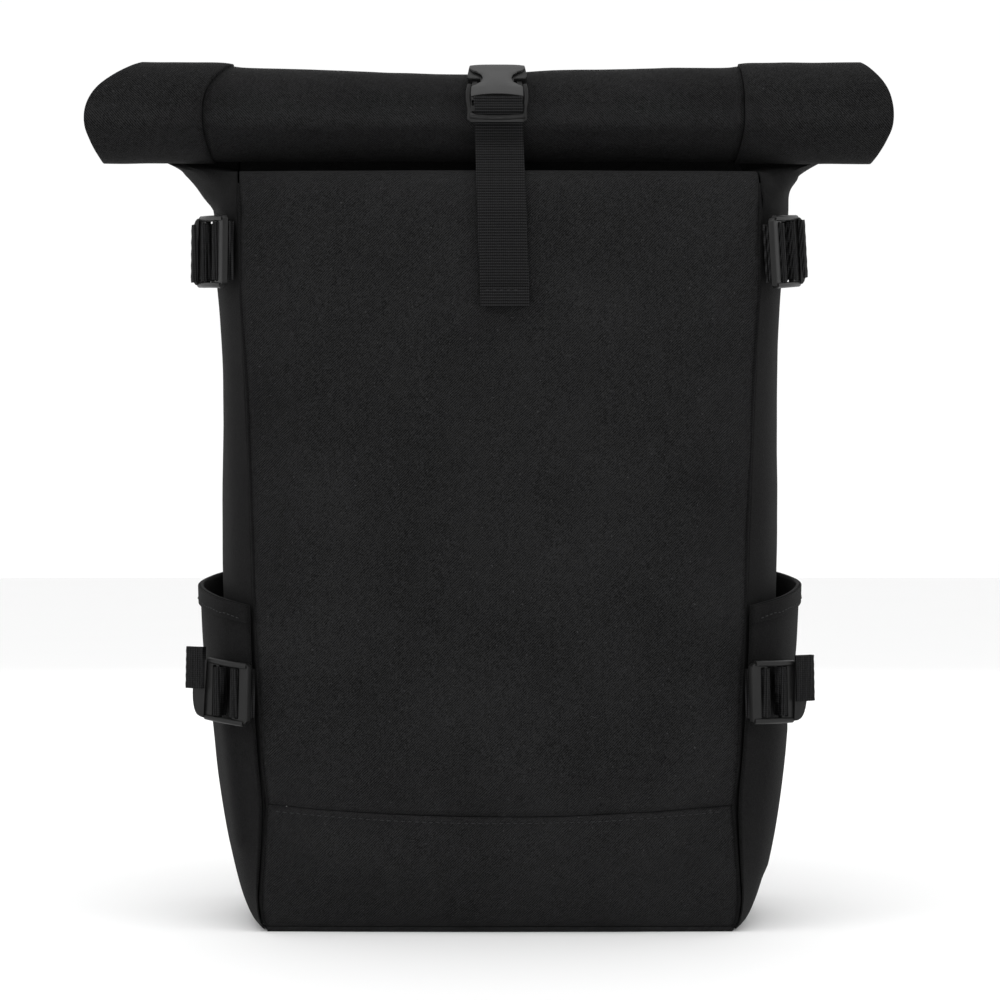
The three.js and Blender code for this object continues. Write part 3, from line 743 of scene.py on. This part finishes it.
# Long shallow folds of the front panel
FRONT_FOLDS = (
    {"x0": 118, "z0": 250, "x1": 60, "z1": 225, "width": 16, "depth": 0.9},
    {"x0": -118, "z0": 330, "x1": -60, "z1": 300, "width": 18, "depth": 0.9},
    {"x0": 112, "z0": 140, "x1": 70, "z1": 120, "width": 13, "depth": -0.8},
    {"x0": -110, "z0": 105, "x1": -40, "z1": 88, "width": 12, "depth": 0.8},
    {"x0": 20, "z0": 80, "x1": 100, "z1": 96, "width": 11, "depth": 0.7},
)
# Upright folds of the pockets under the lower straps
POCKET_FOLDS = {
    "left": ({"x0": -142, "z0": 104, "x1": -136, "z1": 44, "width": 5, "depth": 1.8},),
    "right": ({"x0": 147, "z0": 100, "x1": 141, "z1": 30, "width": 7, "depth": 1.6},),
}
# The fold of each side gusset from the roll down to the front seam
EAR_FOLDS = {
    "left": ({"x0": -168, "z0": 394, "x1": -137, "z1": 367, "width": 4.0, "depth": 2.2},),
    "right": ({"x0": 160, "z0": 394, "x1": 137, "z1": 374, "width": 4.0, "depth": 2.2},),
}


# How the gusset's outline is pulled out and in under the roll, at heights in mm
EAR_PULLS = {
    "left": ({"z": 395, "reach": 7, "out": 2.6}, {"z": 377, "reach": 7, "out": -3.0}),
    "right": ({"z": 391, "reach": 9, "out": -3.2},),
}


# The gusset's pulls start this far from the middle and grow over this width
GUSSET_FROM = 138 * MM
GUSSET_OVER = 12 * MM


def with_pulls(field, hand):
    """A field that also draws the gusset's outline out or in."""

    def pulled(place):
        amount = 0.0
        for pull in EAR_PULLS[hand]:
            amount += pull["out"] * bump_at(place.z, pull["z"] * MM, pull["reach"] * MM)
        beyond = clamped((abs(place.x) - GUSSET_FROM) / GUSSET_OVER)
        return field(place) + Vector((HANDS[hand] * amount * beyond * MM, 0.0, 0.0))

    return pulled


def toward_front(place):
    return Vector((0.0, -1.0, 0.0))


# Where the front's cloth is drawn up under the roll, and how far
TUCK = {"from_z": 366 * MM, "over_z": 22 * MM, "from_y": 50 * MM, "over_y": 14 * MM, "rise": 3.4 * MM}


def tucked_up(field):
    """A field that also draws the cloth's front up under the roll."""

    def tucked(place):
        high = clamped((place.z - TUCK["from_z"]) / TUCK["over_z"])
        ahead = clamped((-place.y - TUCK["from_y"]) / TUCK["over_y"])
        lift = TUCK["rise"] * high * high * (3 - 2 * high) * ahead
        return field(place) + Vector((0.0, 0.0, lift))

    return tucked


def canvas_panel(node, field, slot="canvas", finish="canvas"):
    """One sewn panel, rounded from its CAD solid and moved by a field of folds."""
    piece = copy_of_node(node, f"{node}_cloth")
    crease_rims(piece, WALL_CREASE)
    add_modifier(piece, "SUBSURF", levels=CLOTH_LEVELS, render_levels=CLOTH_LEVELS)
    displace(piece, field)
    smooth_all(piece)
    return settle(piece, slot, finish, node)


class BACKPACK_OT_panels(bpy.types.Operator):
    """Models the front, back, side and base panels"""

    bl_idname = "backpack.panels"
    bl_label = "Panels"

    def execute(self, context):
        depth = context.scene.backpack_sizes.wrinkle
        front = with_folds(canvas_field(1.3, depth), FRONT_FOLDS, toward_front)
        canvas_panel("front_panel", tucked_up(front))
        lower = with_folds(canvas_field(2.9, depth * 0.8), LOWER_FOLDS, toward_front)
        canvas_panel("lower_front_panel", lower)
        canvas_panel("back_panel", canvas_field(4.4, depth * 0.3))
        for hand in HANDS:
            side = with_folds(canvas_field(6.2 + len(hand), depth * 1.1), EAR_FOLDS[hand], outward_of_bag)
            side = with_pulls(side, hand)
            canvas_panel(f"side_panel_{hand}", tucked_up(side), finish="shaded_side_canvas")
        base = copy_of_node("base_panel", "base_panel_cloth")
        add_modifier(base, "BEVEL", width=BASE_BEVEL, segments=2, limit_method="ANGLE")
        smooth_all(base)
        settle(base, "canvas", "canvas", "base_panel")
        return {"FINISHED"}


# The front seams end at a height, and are read off the panels in rows, without a row
# that only has places well inside the panel
SEAM_TOP = 388 * MM
SEAM_ROW = 3 * MM
INNER_ROW = 6 * MM
SEAM_RADIUS = 0.95 * MM


def seam_path(hand):
    """Places up the front seam of one side, on the outer face of the front panels."""
    way = HANDS[hand]
    rows = {}
    for node in ("lower_front_panel", "front_panel"):
        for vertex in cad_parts[node].data.vertices:
            if vertex.co.z < SEAM_TOP:
                rows.setdefault(round(vertex.co.z / SEAM_ROW), []).append(vertex.co)
    path = []
    reached = 0.0
    for key in sorted(rows):
        edge = max(place.x * way for place in rows[key])
        if edge < reached - INNER_ROW:
            continue
        reached = edge
        near = [place for place in rows[key] if place.x * way > edge - 2.2 * MM]
        outer = min(near, key=lambda place: place.y)
        path.append(Vector((edge * way + way * 0.2 * MM, outer.y + 0.4 * MM, outer.z)))
    return path


def tube(name, points, radius):
    """A round bar along a row of places."""
    curve = bpy.data.curves.new(name, "CURVE")
    curve.dimensions = "3D"
    curve.bevel_depth = radius
    curve.bevel_resolution = 4
    curve.use_fill_caps = True
    spline = curve.splines.new("POLY")
    spline.points.add(len(points) - 1)
    for point, place in zip(spline.points, points):
        point.co = (*place, 1.0)
    make_active(linked(name, curve))
    bpy.ops.object.convert(target="MESH")
    piece = bpy.context.object
    add_modifier(piece, "BEVEL", width=radius * 0.45, segments=2, limit_method="ANGLE")
    smooth_all(piece)
    return piece


class BACKPACK_OT_seams(bpy.types.Operator):
    """Models the turned seams between the front and the sides"""

    bl_idname = "backpack.seams"
    bl_label = "Seams"

    def execute(self, context):
        field = canvas_field(1.3, context.scene.backpack_sizes.wrinkle)
        for hand in HANDS:
            path = [place + field(place) for place in seam_path(hand)]
            settle(tube(f"front_seam_{hand}", path, SEAM_RADIUS), "canvas", "shaded_side_canvas")
        return {"FINISHED"}


class BACKPACK_OT_pockets(bpy.types.Operator):
    """Models the open side pockets and their hems"""

    bl_idname = "backpack.pockets"
    bl_label = "Pockets"

    def execute(self, context):
        depth = context.scene.backpack_sizes.wrinkle
        for hand in HANDS:
            field = with_folds(canvas_field(8.8 + len(hand), depth * 0.8), POCKET_FOLDS[hand], outward_of_bag)
            canvas_panel(f"side_pocket_{hand}", field, finish="shaded_side_canvas")
            canvas_panel(f"pocket_hem_{hand}", field, slot="hem_canvas", finish="shaded_side_canvas")
        return {"FINISHED"}


# How far each seam of the roll leans along it, at its top, front and bottom, in mm
ROLL_SEAMS = {
    "left": {"top": 4.0, "front": -10.0, "bottom": -6.5},
    "right": {"top": -6.0, "front": -4.5, "bottom": -7.5},
}


# The bulge and the hollow along the roll's front: degrees up from it, and mm outwards
ROLL_WAVES = (
    {"turn": -19, "reach": 10, "out": 1.9},
    {"turn": 4, "reach": 14, "out": -1.6},
)
# The roll's top: pressed in beside the strap, and a step up to its end panels, in mm
ROLL_DENT = {"x": -36, "reach": 52, "out": -2.6}
ROLL_END_RISE = 2.0
ROLL_STEP = 2.5 * MM


def roll_lean(place, turn):
    """The shift along the roll that bends its two seams."""
    shift = 0.0
    up = math.sin(turn)
    ahead = max(0.0, -math.cos(turn))
    for hand, edge in (("left", ROLL_LOW.x), ("right", ROLL_HIGH.x)):
        lean = ROLL_SEAMS[hand]
        amount = lean["front"] * ahead**2 + (lean["top"] if up > 0 else lean["bottom"]) * up**2
        shift += amount * MM * bump_at(place.x, edge, 40 * MM)
    return shift


def roll_field(seed, depth):
    """The roll's wrinkles, its bulge and hollow down the front, its dent and its bent seams."""
    middle_y, middle_z = roll_axis()

    def field(place):
        out = Vector((0.0, place.y - middle_y, place.z - middle_z))
        radius = out.length
        if radius < 1e-6:
            return Vector((0, 0, 0))
        out.normalize()
        turn = math.atan2(out.z, out.y)
        broad = noise.noise(Vector((place.x / (48 * MM), math.cos(turn) + seed, math.sin(turn) + seed)))
        fine = noise.noise(Vector((place.x / (15 * MM) + seed, 3 * math.cos(turn), 3 * math.sin(turn))))
        front_turn = math.degrees(math.asin(max(-1.0, min(1.0, out.z)))) if out.y < 0 else 90.0
        waves = sum(wave["out"] * bump_at(front_turn, wave["turn"], wave["reach"]) for wave in ROLL_WAVES)
        on_top = max(out.z, 0.0) ** 2
        proud = 0.0
        for way, edge in ((-1, ROLL_LOW.x), (1, ROLL_HIGH.x)):
            proud += 1.0 / (1.0 + math.exp(-way * (place.x - edge) / ROLL_STEP))
        dent = bump_at(place.x, ROLL_DENT["x"] * MM, ROLL_DENT["reach"] * MM)
        swell = ((ROLL_END_RISE * proud + ROLL_DENT["out"] * dent) * on_top + waves) * MM
        lean = Vector((roll_lean(place, turn), 0.0, 0.0))
        return out * (depth * (0.9 * broad + 0.3 * fine) + swell) + lean

    return field


class BACKPACK_OT_roll(bpy.types.Operator):
    """Models the rolled top in its three panels"""

    bl_idname = "backpack.roll"
    bl_label = "Rolled top"

    def execute(self, context):
        depth = context.scene.backpack_sizes.wrinkle * 0.8
        field = roll_field(3.7, depth)
        for node in ("roll_centre", "roll_end_left", "roll_end_right"):
            canvas_panel(node, field, finish="roll_canvas")
        return {"FINISHED"}


def trimmed(line, length):
    """The same line with both its ends cut back."""
    first = line[0].lerp(line[1], min(0.9, length / (line[1] - line[0]).length))
    last = line[-1].lerp(line[-2], min(0.9, length / (line[-2] - line[-1]).length))
    return [first, *line[1:-1], last]


# The hanging strap swings aside below the buckle's bar, over this height
STRAP_BEND = 410 * MM
STRAP_SWING = 90 * MM


def strap_slant(height):
    """How far the hanging strap has swung aside at a height."""
    return (1.0 + 3.2 * clamped((STRAP_BEND - height) / STRAP_SWING)) * MM


ANCHOR_TRIM = 3 * MM
DOUBLE_WEB = 2.6 * MM
# The free ends of the lower straps: height in mm and share of the strap's width
LOWER_TABS = {
    "lower_tab_left": {"middle": 136.0, "share": 0.86},
    "lower_tab_right": {"middle": 130.5, "share": 0.95},
}


class BACKPACK_OT_webbing(bpy.types.Operator):
    """Models every strap of ribbed webbing"""

    bl_idname = "backpack.webbing"
    bl_label = "Webbing"

    def execute(self, context):
        straps = [("front_strap", 0), ("front_strap_hem", 0), ("roll_strap", 0), ("haul_loop", 1)]
        for hand in HANDS:
            straps.append((f"shoulder_web_{hand}", 0))
            for level in ("lower", "upper"):
                straps.extend((f"{level}_{part}_{hand}", 2) for part in ("anchor", "strap", "tab"))
        for node, axis in straps:
            line, spans, thick = solid_of_rungs(node, axis)
            if node in LOWER_TABS:
                level = LOWER_TABS[node]["middle"] * MM
                spans = [span * LOWER_TABS[node]["share"] for span in spans]
                line = [Vector((place.x, place.y, level)) for place in line]
            if "anchor" in node:
                line = trimmed(line, ANCHOR_TRIM)
            if node.startswith("front_strap"):
                line = [place + Vector((strap_slant(place.z), 0, 0)) for place in line]
            strip = web_strip(f"{node}_web", line, spans, min(thick, DOUBLE_WEB))
            finish = "side_webbing" if axis == 2 else "roll_webbing" if node == "roll_strap" else "webbing"
            settle(strip, "webbing", finish, node)
        return {"FINISHED"}


def moulded_sheet(name, rows, thick, bevel, segments):
    """A thin moulding from rows of places, with its wall and rounded edges."""
    work = bmesh.new()
    grid = [[work.verts.new(place) for place in row] for row in rows]
    for low, high in zip(grid, grid[1:]):
        for k in range(len(low) - 1):
            work.faces.new((low[k], low[k + 1], high[k + 1], high[k]))
    bmesh.ops.remove_doubles(work, verts=work.verts, dist=0.05 * MM)
    bmesh.ops.recalc_face_normals(work, faces=work.faces)
    mesh = bpy.data.meshes.new(name)
    work.to_mesh(mesh)
    work.free()
    piece = linked(name, mesh)
    add_modifier(piece, "SOLIDIFY", thickness=thick, offset=0.0)
    add_modifier(piece, "BEVEL", width=bevel, segments=segments, limit_method="ANGLE")
    smooth_all(piece)
    return piece


def moulding(node, slot, finish, bevel):
    """A CAD moulding with its edges rounded."""
    piece = copy_of_node(node, f"{node}_moulding")
    add_modifier(piece, "BEVEL", width=bevel, segments=3, limit_method="ANGLE")
    smooth_all(piece)
    return settle(piece, slot, finish, node)


def lock_axes(node):
    """A ladder lock's middle and its directions: away from the front seam, up and outwards."""
    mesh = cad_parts[node].data
    out = max(mesh.polygons, key=lambda face: face.area).normal.copy()
    longest = max(
        (mesh.vertices[edge.vertices[1]].co - mesh.vertices[edge.vertices[0]].co for edge in mesh.edges),
        key=lambda edge: edge.length if abs(edge.normalized().z) > 0.9 else 0.0,
    )
    places = [vertex.co for vertex in mesh.vertices]
    middle = sum(places, Vector()) / len(places)
    if out.dot(Vector((middle.x, middle.y, 0))) < 0:
        out = -out
    up = longest.normalized() if longest.z > 0 else -longest.normalized()
    away = up.cross(out).normalized()
    if away.y < 0:
        away = -away
    axes = (away, up, out)
    spans = [[(place - middle).dot(axis) for place in places] for axis in axes]
    shifts = ((max(span) + min(span)) / 2 * axis for span, axis in zip(spans, axes))
    halves = [(max(span) - min(span)) / 2 for span in spans]
    return middle + sum(shifts, Vector()), axes, halves


BUCKLE_BEVEL = 0.5 * MM
LOCK_BEVEL = 0.9 * MM
RAIL_RADIUS = 1.55 * MM
THUMB_REACH = {"lower": 6.2 * MM, "upper": 2.4 * MM}
# The thumb plate's sections: share of its reach past the lock, and height in mm
THUMB_PLATE = (
    {"reach": 0.0, "height": 0.3},
    {"reach": 0.35, "height": 0.9},
    {"reach": 0.7, "height": 2.0},
    {"reach": 1.0, "height": 3.4},
)


def lock_details(node, thumb):
    """The rounded rails and the thumb plate that stand on a ladder lock."""
    middle, (away, up, out), (half_long, half_tall, half_thick) = lock_axes(node)

    def at(along, rise, height):
        return middle + away * along + up * rise + out * height

    for way, name in ((1, "top"), (-1, "bottom")):
        rise = way * (half_tall - 1.5 * MM)
        points = []
        for share in steps_across(8):
            height = half_thick * 0.5 + 1.1 * MM * (1 - share**2)
            points.append(at(share * (half_long - 2.6 * MM), rise, height))
        rail = tube(f"{node}_rail_{name}", points, RAIL_RADIUS)
        settle(rail, "lock_plastic", "lock_plastic")
    rows = []
    for section in THUMB_PLATE:
        row = []
        for k in range(17):
            turn = math.pi * (k / 16 - 0.5)
            bulge = math.cos(turn) ** 0.6
            along = half_long - 2.2 * MM + section["reach"] * thumb * bulge
            rise = math.sin(turn) * (half_tall - 1.2 * MM)
            row.append(at(along, rise, half_thick + section["height"] * MM * bulge))
        rows.append(row)
    piece = moulded_sheet(f"{node}_thumb_plate", rows, 1.8 * MM, 0.5 * MM, 2)
    settle(piece, "lock_plastic", "lock_plastic")


# The buckle's face over the roll: degrees up from the front and half width in mm
BUCKLE_FACE = (
    {"turn": 9.0, "half": 13.6},
    {"turn": 18.5, "half": 13.4},
    {"turn": 21.0, "half": 10.6},
    {"turn": 24.0, "half": 8.0},
    {"turn": 28.0, "half": 7.3},
    {"turn": 32.0, "half": 7.9},
    {"turn": 36.0, "half": 10.3},
    {"turn": 39.0, "half": 13.2},
    {"turn": 43.0, "half": 14.4},
    {"turn": 47.0, "half": 14.2},
)


# How far the buckle's face, the strap's turn and the bottom bar lie from the roll's middle
BUCKLE_RADIUS = 31.2 * MM
BAND_RADIUS = 32.4 * MM
BAR_RADIUS = 32.6 * MM
BAND_HALF = 12.6 * MM
SIDE_RAIL = 1.25 * MM
BOTTOM_BAR = 1.7 * MM
BAR_HALF = 14.0 * MM


def over_roll(x, degrees, radius):
    """A place over the roll, by degrees up from its front."""
    middle_y, middle_z = roll_axis()
    turn = math.radians(degrees)
    return Vector((x, middle_y - radius * math.cos(turn), middle_z + radius * math.sin(turn)))


def buckle_middle():
    low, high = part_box("buckle_socket")
    return (low.x + high.x) / 2


def buckle_face():
    """The waisted front wall of the socket, arched along its open edge."""
    middle = buckle_middle()
    rows = []
    count = len(BUCKLE_FACE) * 3
    for j in range(count + 1):
        at = j / count * (len(BUCKLE_FACE) - 1)
        k = min(int(at), len(BUCKLE_FACE) - 2)
        share = at - k
        ease = share * share * (3 - 2 * share)
        turn = BUCKLE_FACE[k]["turn"] * (1 - share) + BUCKLE_FACE[k + 1]["turn"] * share
        half = (BUCKLE_FACE[k]["half"] * (1 - ease) + BUCKLE_FACE[k + 1]["half"] * ease) * MM
        row = []
        for across in steps_across(10):
            arch = 2.4 * (1 - across**2) * max(0.0, 1 - j / 5)
            crown = 0.7 * MM * (1 - across**4)
            settled = max(0.0, turn - 36) / 11 * 1.1 * MM
            row.append(over_roll(middle + half * across, turn + arch, BUCKLE_RADIUS + crown - settled))
        rows.append(row)
    piece = moulded_sheet("buckle_face", rows, 1.7 * MM, 0.55 * MM, 3)
    # The face alone takes the lighter plastic, a painted highlight where it catches the top light.
    settle(piece, "buckle_plastic", "plastic")


def buckle_band():
    """The strap where it turns round the buckle's bar."""
    middle = buckle_middle() + strap_slant(STRAP_BEND) * 0.5
    line = [over_roll(middle, 9.5 - 15.5 * k / 8, BAND_RADIUS) for k in range(9)]
    spans = [Vector((BAND_HALF, 0, 0)) for _ in line]
    settle(web_strip("front_strap_band", line, spans, 1.2 * MM), "webbing", "webbing")


def buckle_rails():
    """The frame's rounded sides and its bowed bottom bar."""
    middle = buckle_middle()
    for name, way in reversed(HANDS.items()):
        points = []
        for k in range(13):
            share = k / 12
            bulge = 14.2 + 0.9 * math.sin(math.pi * min(1.0, share * 1.25))
            points.append(over_roll(middle + way * bulge * MM, 21 - 31 * share, 31.4 * MM + 0.6 * MM * share))
        settle(tube(f"buckle_rail_{name}", points, SIDE_RAIL), "buckle_plastic", "lock_plastic")
    points = []
    for share in steps_across(12):
        points.append(over_roll(middle + share * BAR_HALF, -9.0 - 1.6 * (1 - share**2), BAR_RADIUS))
    settle(tube("buckle_bottom_bar", points, BOTTOM_BAR), "buckle_plastic", "lock_plastic")


class BACKPACK_OT_hardware(bpy.types.Operator):
    """Models the side-release buckle and the ladder locks"""

    bl_idname = "backpack.hardware"
    bl_label = "Hardware"

    def execute(self, context):
        for node in ("buckle_plug", "buckle_socket"):
            moulding(node, "buckle_plastic", "lock_plastic", BUCKLE_BEVEL)
        buckle_face()
        buckle_band()
        buckle_rails()
        for hand in HANDS:
            for level in ("lower", "upper"):
                moulding(f"{level}_lock_{hand}", "lock_plastic", "lock_plastic", LOCK_BEVEL)
                lock_details(f"{level}_lock_{hand}", THUMB_REACH[level])
        return {"FINISHED"}


PAD_VOXEL = 5 * MM
PAD_PRESSURE = 4.0
PAD_FRAMES = 20
SWELL_CAP = 2.5 * MM
PAD_LEVELS = 2


def puffed(node, piece, cap):
    """Swells a padded piece with the cloth simulation, each point by no more than cap."""
    add_modifier(piece, "REMESH", mode="VOXEL", voxel_size=PAD_VOXEL, adaptivity=0.0)
    start = [vertex.co.copy() for vertex in piece.data.vertices]
    modifier = piece.modifiers.new("cloth", "CLOTH")
    settings = modifier.settings
    settings.use_pressure = True
    settings.uniform_pressure_force = PAD_PRESSURE
    settings.effector_weights.gravity = 0.0
    settings.quality = 6
    for step in range(1, PAD_FRAMES + 1):
        bpy.context.scene.frame_set(step)
    make_active(piece)
    bpy.ops.object.modifier_apply(modifier=modifier.name)
    bpy.context.scene.frame_set(1)
    low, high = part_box(node)
    for vertex, rest in zip(piece.data.vertices, start):
        moved = vertex.co - rest
        if moved.length > cap:
            vertex.co = rest + moved * (cap / moved.length)
        vertex.co.y = max(low.y, min(vertex.co.y, high.y))
    piece.data.update()
    add_modifier(piece, "SUBSURF", levels=1, render_levels=1)


class BACKPACK_OT_carrying(bpy.types.Operator):
    """Models the back pad and the shoulder straps"""

    bl_idname = "backpack.carrying"
    bl_label = "Back pad and shoulder straps"

    def execute(self, context):
        for node in ["back_pad"] + [f"shoulder_strap_{hand}" for hand in HANDS]:
            piece = copy_of_node(node, f"{node}_cloth")
            crease_rims(piece, PAD_CREASE)
            add_modifier(piece, "SUBSURF", levels=PAD_LEVELS, render_levels=PAD_LEVELS)
            puffed(node, piece, SWELL_CAP)
            smooth_all(piece)
            settle(piece, "pad_mesh", "pad_mesh", node)
        return {"FINISHED"}


def visible_surface(*names):
    """A ray target made of finished pieces."""
    work = bmesh.new()
    for name in names:
        work.from_mesh(bpy.data.objects[name].data)
    tree = BVHTree.FromBMesh(work)
    work.free()
    return tree


def run_on(tree, starts, direction):
    """Places on the cloth, with their normals, under a row of starts."""
    return [hit(tree, start, direction) for start in starts]


# Where rays to the cloth start, in metres from the middle
RAYS_FROM_FRONT = -0.2
RAYS_FROM_SIDE = 0.4
# The lower seam's stitches: their sag, their drop under the seam and their ends
SEAM_SAG = 5.5 * MM
SEAM_BELOW = 3.2 * MM
SEAM_INSET = 7 * MM
# The hanging strap's stitches, and the ends of the pocket hems'
HEM_HALF = 10.5 * MM
HEM_BELOW = 1.6 * MM
HEM_END = 4 * MM


def hem_line(node, y):
    """The height of a pocket hem's stitches at a place along the bag's side."""
    reach = 12 * MM
    near = [vertex.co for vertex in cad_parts[node].data.vertices if abs(vertex.co.y - y) < reach]
    weights = [max(1e-4, 1 - abs(place.y - y) / reach) for place in near]
    middle = sum(place.z * weight for place, weight in zip(near, weights)) / sum(weights)
    return middle - 2.2 * MM


class BACKPACK_OT_stitching(bpy.types.Operator):
    """Sews the seams, hems and strap ends"""

    bl_idname = "backpack.stitching"
    bl_label = "Stitching"

    def execute(self, context):
        ahead = Vector((0, 1, 0))
        low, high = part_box("lower_front_panel")
        tree = visible_surface("lower_front_panel_cloth")
        starts = []
        for across in steps_across(60):
            sag = SEAM_SAG * (1 - across**2)
            level = high.z - SEAM_BELOW - sag
            starts.append(Vector((across * (high.x - SEAM_INSET), RAYS_FROM_FRONT, level)))
        stitches("lower_seam_stitches", [run_on(tree, starts, ahead)])

        low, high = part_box("front_strap_hem")
        middle = (low.x + high.x) / 2 + strap_slant(high.z)
        tree = visible_surface("front_strap_web", "front_strap_hem_web")
        level = high.z - HEM_BELOW
        starts = [
            Vector((middle + HEM_HALF * share, RAYS_FROM_FRONT, level)) for share in steps_across(16)
        ]
        stitches("strap_hem_stitches", [run_on(tree, starts, ahead)])

        for hand, way in HANDS.items():
            node = f"pocket_hem_{hand}"
            low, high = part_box(node)
            tree = visible_surface(f"{node}_cloth")
            run = []
            for k in range(70):
                y = low.y + HEM_END + (high.y - low.y - 2 * HEM_END) * k / 69
                start = Vector((way * RAYS_FROM_SIDE, y, hem_line(node, y)))
                place, normal, _, _ = tree.ray_cast(start, Vector((-way, 0, 0)))
                if place:
                    run.append((place, normal if normal.x * way > 0 else -normal))
            if len(run) > 2:
                stitches(f"pocket_stitches_{hand}", [run])
        return {"FINISHED"}


# The studio


# The soft lights: where each stands and aims, its size in metres and its power in watts
LIGHTS = (
    {"name": "top_light", "place": (0, -0.5, 1.6), "aim": (0, 0, 0.22), "size": (1.2, 0.7), "power": 6},
    {"name": "left_light", "place": (-1.5, -0.9, 0.8), "aim": (0, 0, 0.22), "size": (0.8, 1.4), "power": 4},
    {"name": "right_light", "place": (1.5, -0.9, 0.8), "aim": (0, 0, 0.22), "size": (0.8, 1.4), "power": 2.5},
    {"name": "back_light", "place": (0, 1.7, 0.9), "aim": (0, 0, 0.22), "size": (1.4, 1.0), "power": 5},
    {"name": "low_light", "place": (0, -1.7, 0.12), "aim": (0, 0, 0.36), "size": (1.4, 0.2), "power": 5},
)


def area_light(name, place, aim, size, power):
    """A soft rectangular light that faces its aim."""
    data = bpy.data.lights.new(name, "AREA")
    data.shape = "RECTANGLE"
    data.size, data.size_y = size
    data.energy = power
    light = linked(name, data)
    light.location = place
    light.rotation_euler = (Vector(aim) - Vector(place)).to_track_quat("-Z", "Y").to_euler()


class BACKPACK_OT_stage(bpy.types.Operator):
    """Sets up the floor, the soft studio light and the camera"""

    bl_idname = "backpack.stage"
    bl_label = "Studio"

    camera_distance = 1.4
    camera_height = 0.2225
    seen_width = 0.54
    floor_size = 12
    world_strength = 1.02

    def execute(self, context):
        colours = context.scene.backpack_colours
        deselect()
        bpy.ops.mesh.primitive_plane_add(size=1.0)
        floor = context.object
        floor.name = "studio_floor"
        for vertex in floor.data.vertices:
            vertex.co = vertex.co * self.floor_size
        material, shader, place = new_material("floor")
        tone = noise_at(place, 3.0, 2.0)
        feed(shader, "Base Color", tone.mix(scaled(colours.floor, 0.99), colours.floor))
        feed(shader, "Roughness", 0.85)
        floor.data.materials.append(material)

        world = bpy.data.worlds.new("studio")
        context.scene.world = world
        world.use_nodes = True
        background = world.node_tree.nodes["Background"]
        background.inputs["Color"].default_value = (1, 1, 1, 1)
        background.inputs["Strength"].default_value = self.world_strength
        context.scene.view_settings.view_transform = "Standard"

        for light in LIGHTS:
            area_light(**light)

        lens = bpy.data.cameras.new("camera")
        lens.sensor_width = 36.0
        lens.lens = lens.sensor_width * self.camera_distance / self.seen_width
        camera = linked("camera", lens)
        camera.location = (0, -self.camera_distance, self.camera_height)
        camera.rotation_euler = (math.radians(90), 0, 0)
        context.scene.camera = camera
        return {"FINISHED"}


class BACKPACK_PT_panel(bpy.types.Panel):
    """Lists the pieces of the backpack in the sidebar"""

    bl_idname = "BACKPACK_PT_panel"
    bl_label = "Rolltop backpack"
    bl_space_type = "VIEW_3D"
    bl_region_type = "UI"
    bl_category = "Backpack"

    def draw(self, context):
        for group in (context.scene.backpack_sizes, context.scene.backpack_colours):
            for name in group.__annotations__:
                self.layout.prop(group, name)
        for operator in OPERATORS:
            self.layout.operator(operator.bl_idname)


OPERATORS = (
    BACKPACK_OT_stage,
    BACKPACK_OT_panels,
    BACKPACK_OT_seams,
    BACKPACK_OT_pockets,
    BACKPACK_OT_roll,
    BACKPACK_OT_webbing,
    BACKPACK_OT_hardware,
    BACKPACK_OT_carrying,
    BACKPACK_OT_stitching,
)
CLASSES = (BackpackSizes, BackpackColours, *OPERATORS, BACKPACK_PT_panel)


def register():
    for item in CLASSES:
        bpy.utils.register_class(item)
    bpy.types.Scene.backpack_sizes = bpy.props.PointerProperty(type=BackpackSizes)
    bpy.types.Scene.backpack_colours = bpy.props.PointerProperty(type=BackpackColours)


def unregister():
    del bpy.types.Scene.backpack_colours
    del bpy.types.Scene.backpack_sizes
    for item in reversed(CLASSES):
        bpy.utils.unregister_class(item)


def main():
    register()
    bpy.ops.backpack.stage()
    bpy.ops.backpack.panels()
    bpy.ops.backpack.seams()
    bpy.ops.backpack.pockets()
    bpy.ops.backpack.roll()
    bpy.ops.backpack.webbing()
    bpy.ops.backpack.hardware()
    bpy.ops.backpack.carrying()
    bpy.ops.backpack.stitching()


if __name__ == "__main__":
    main()
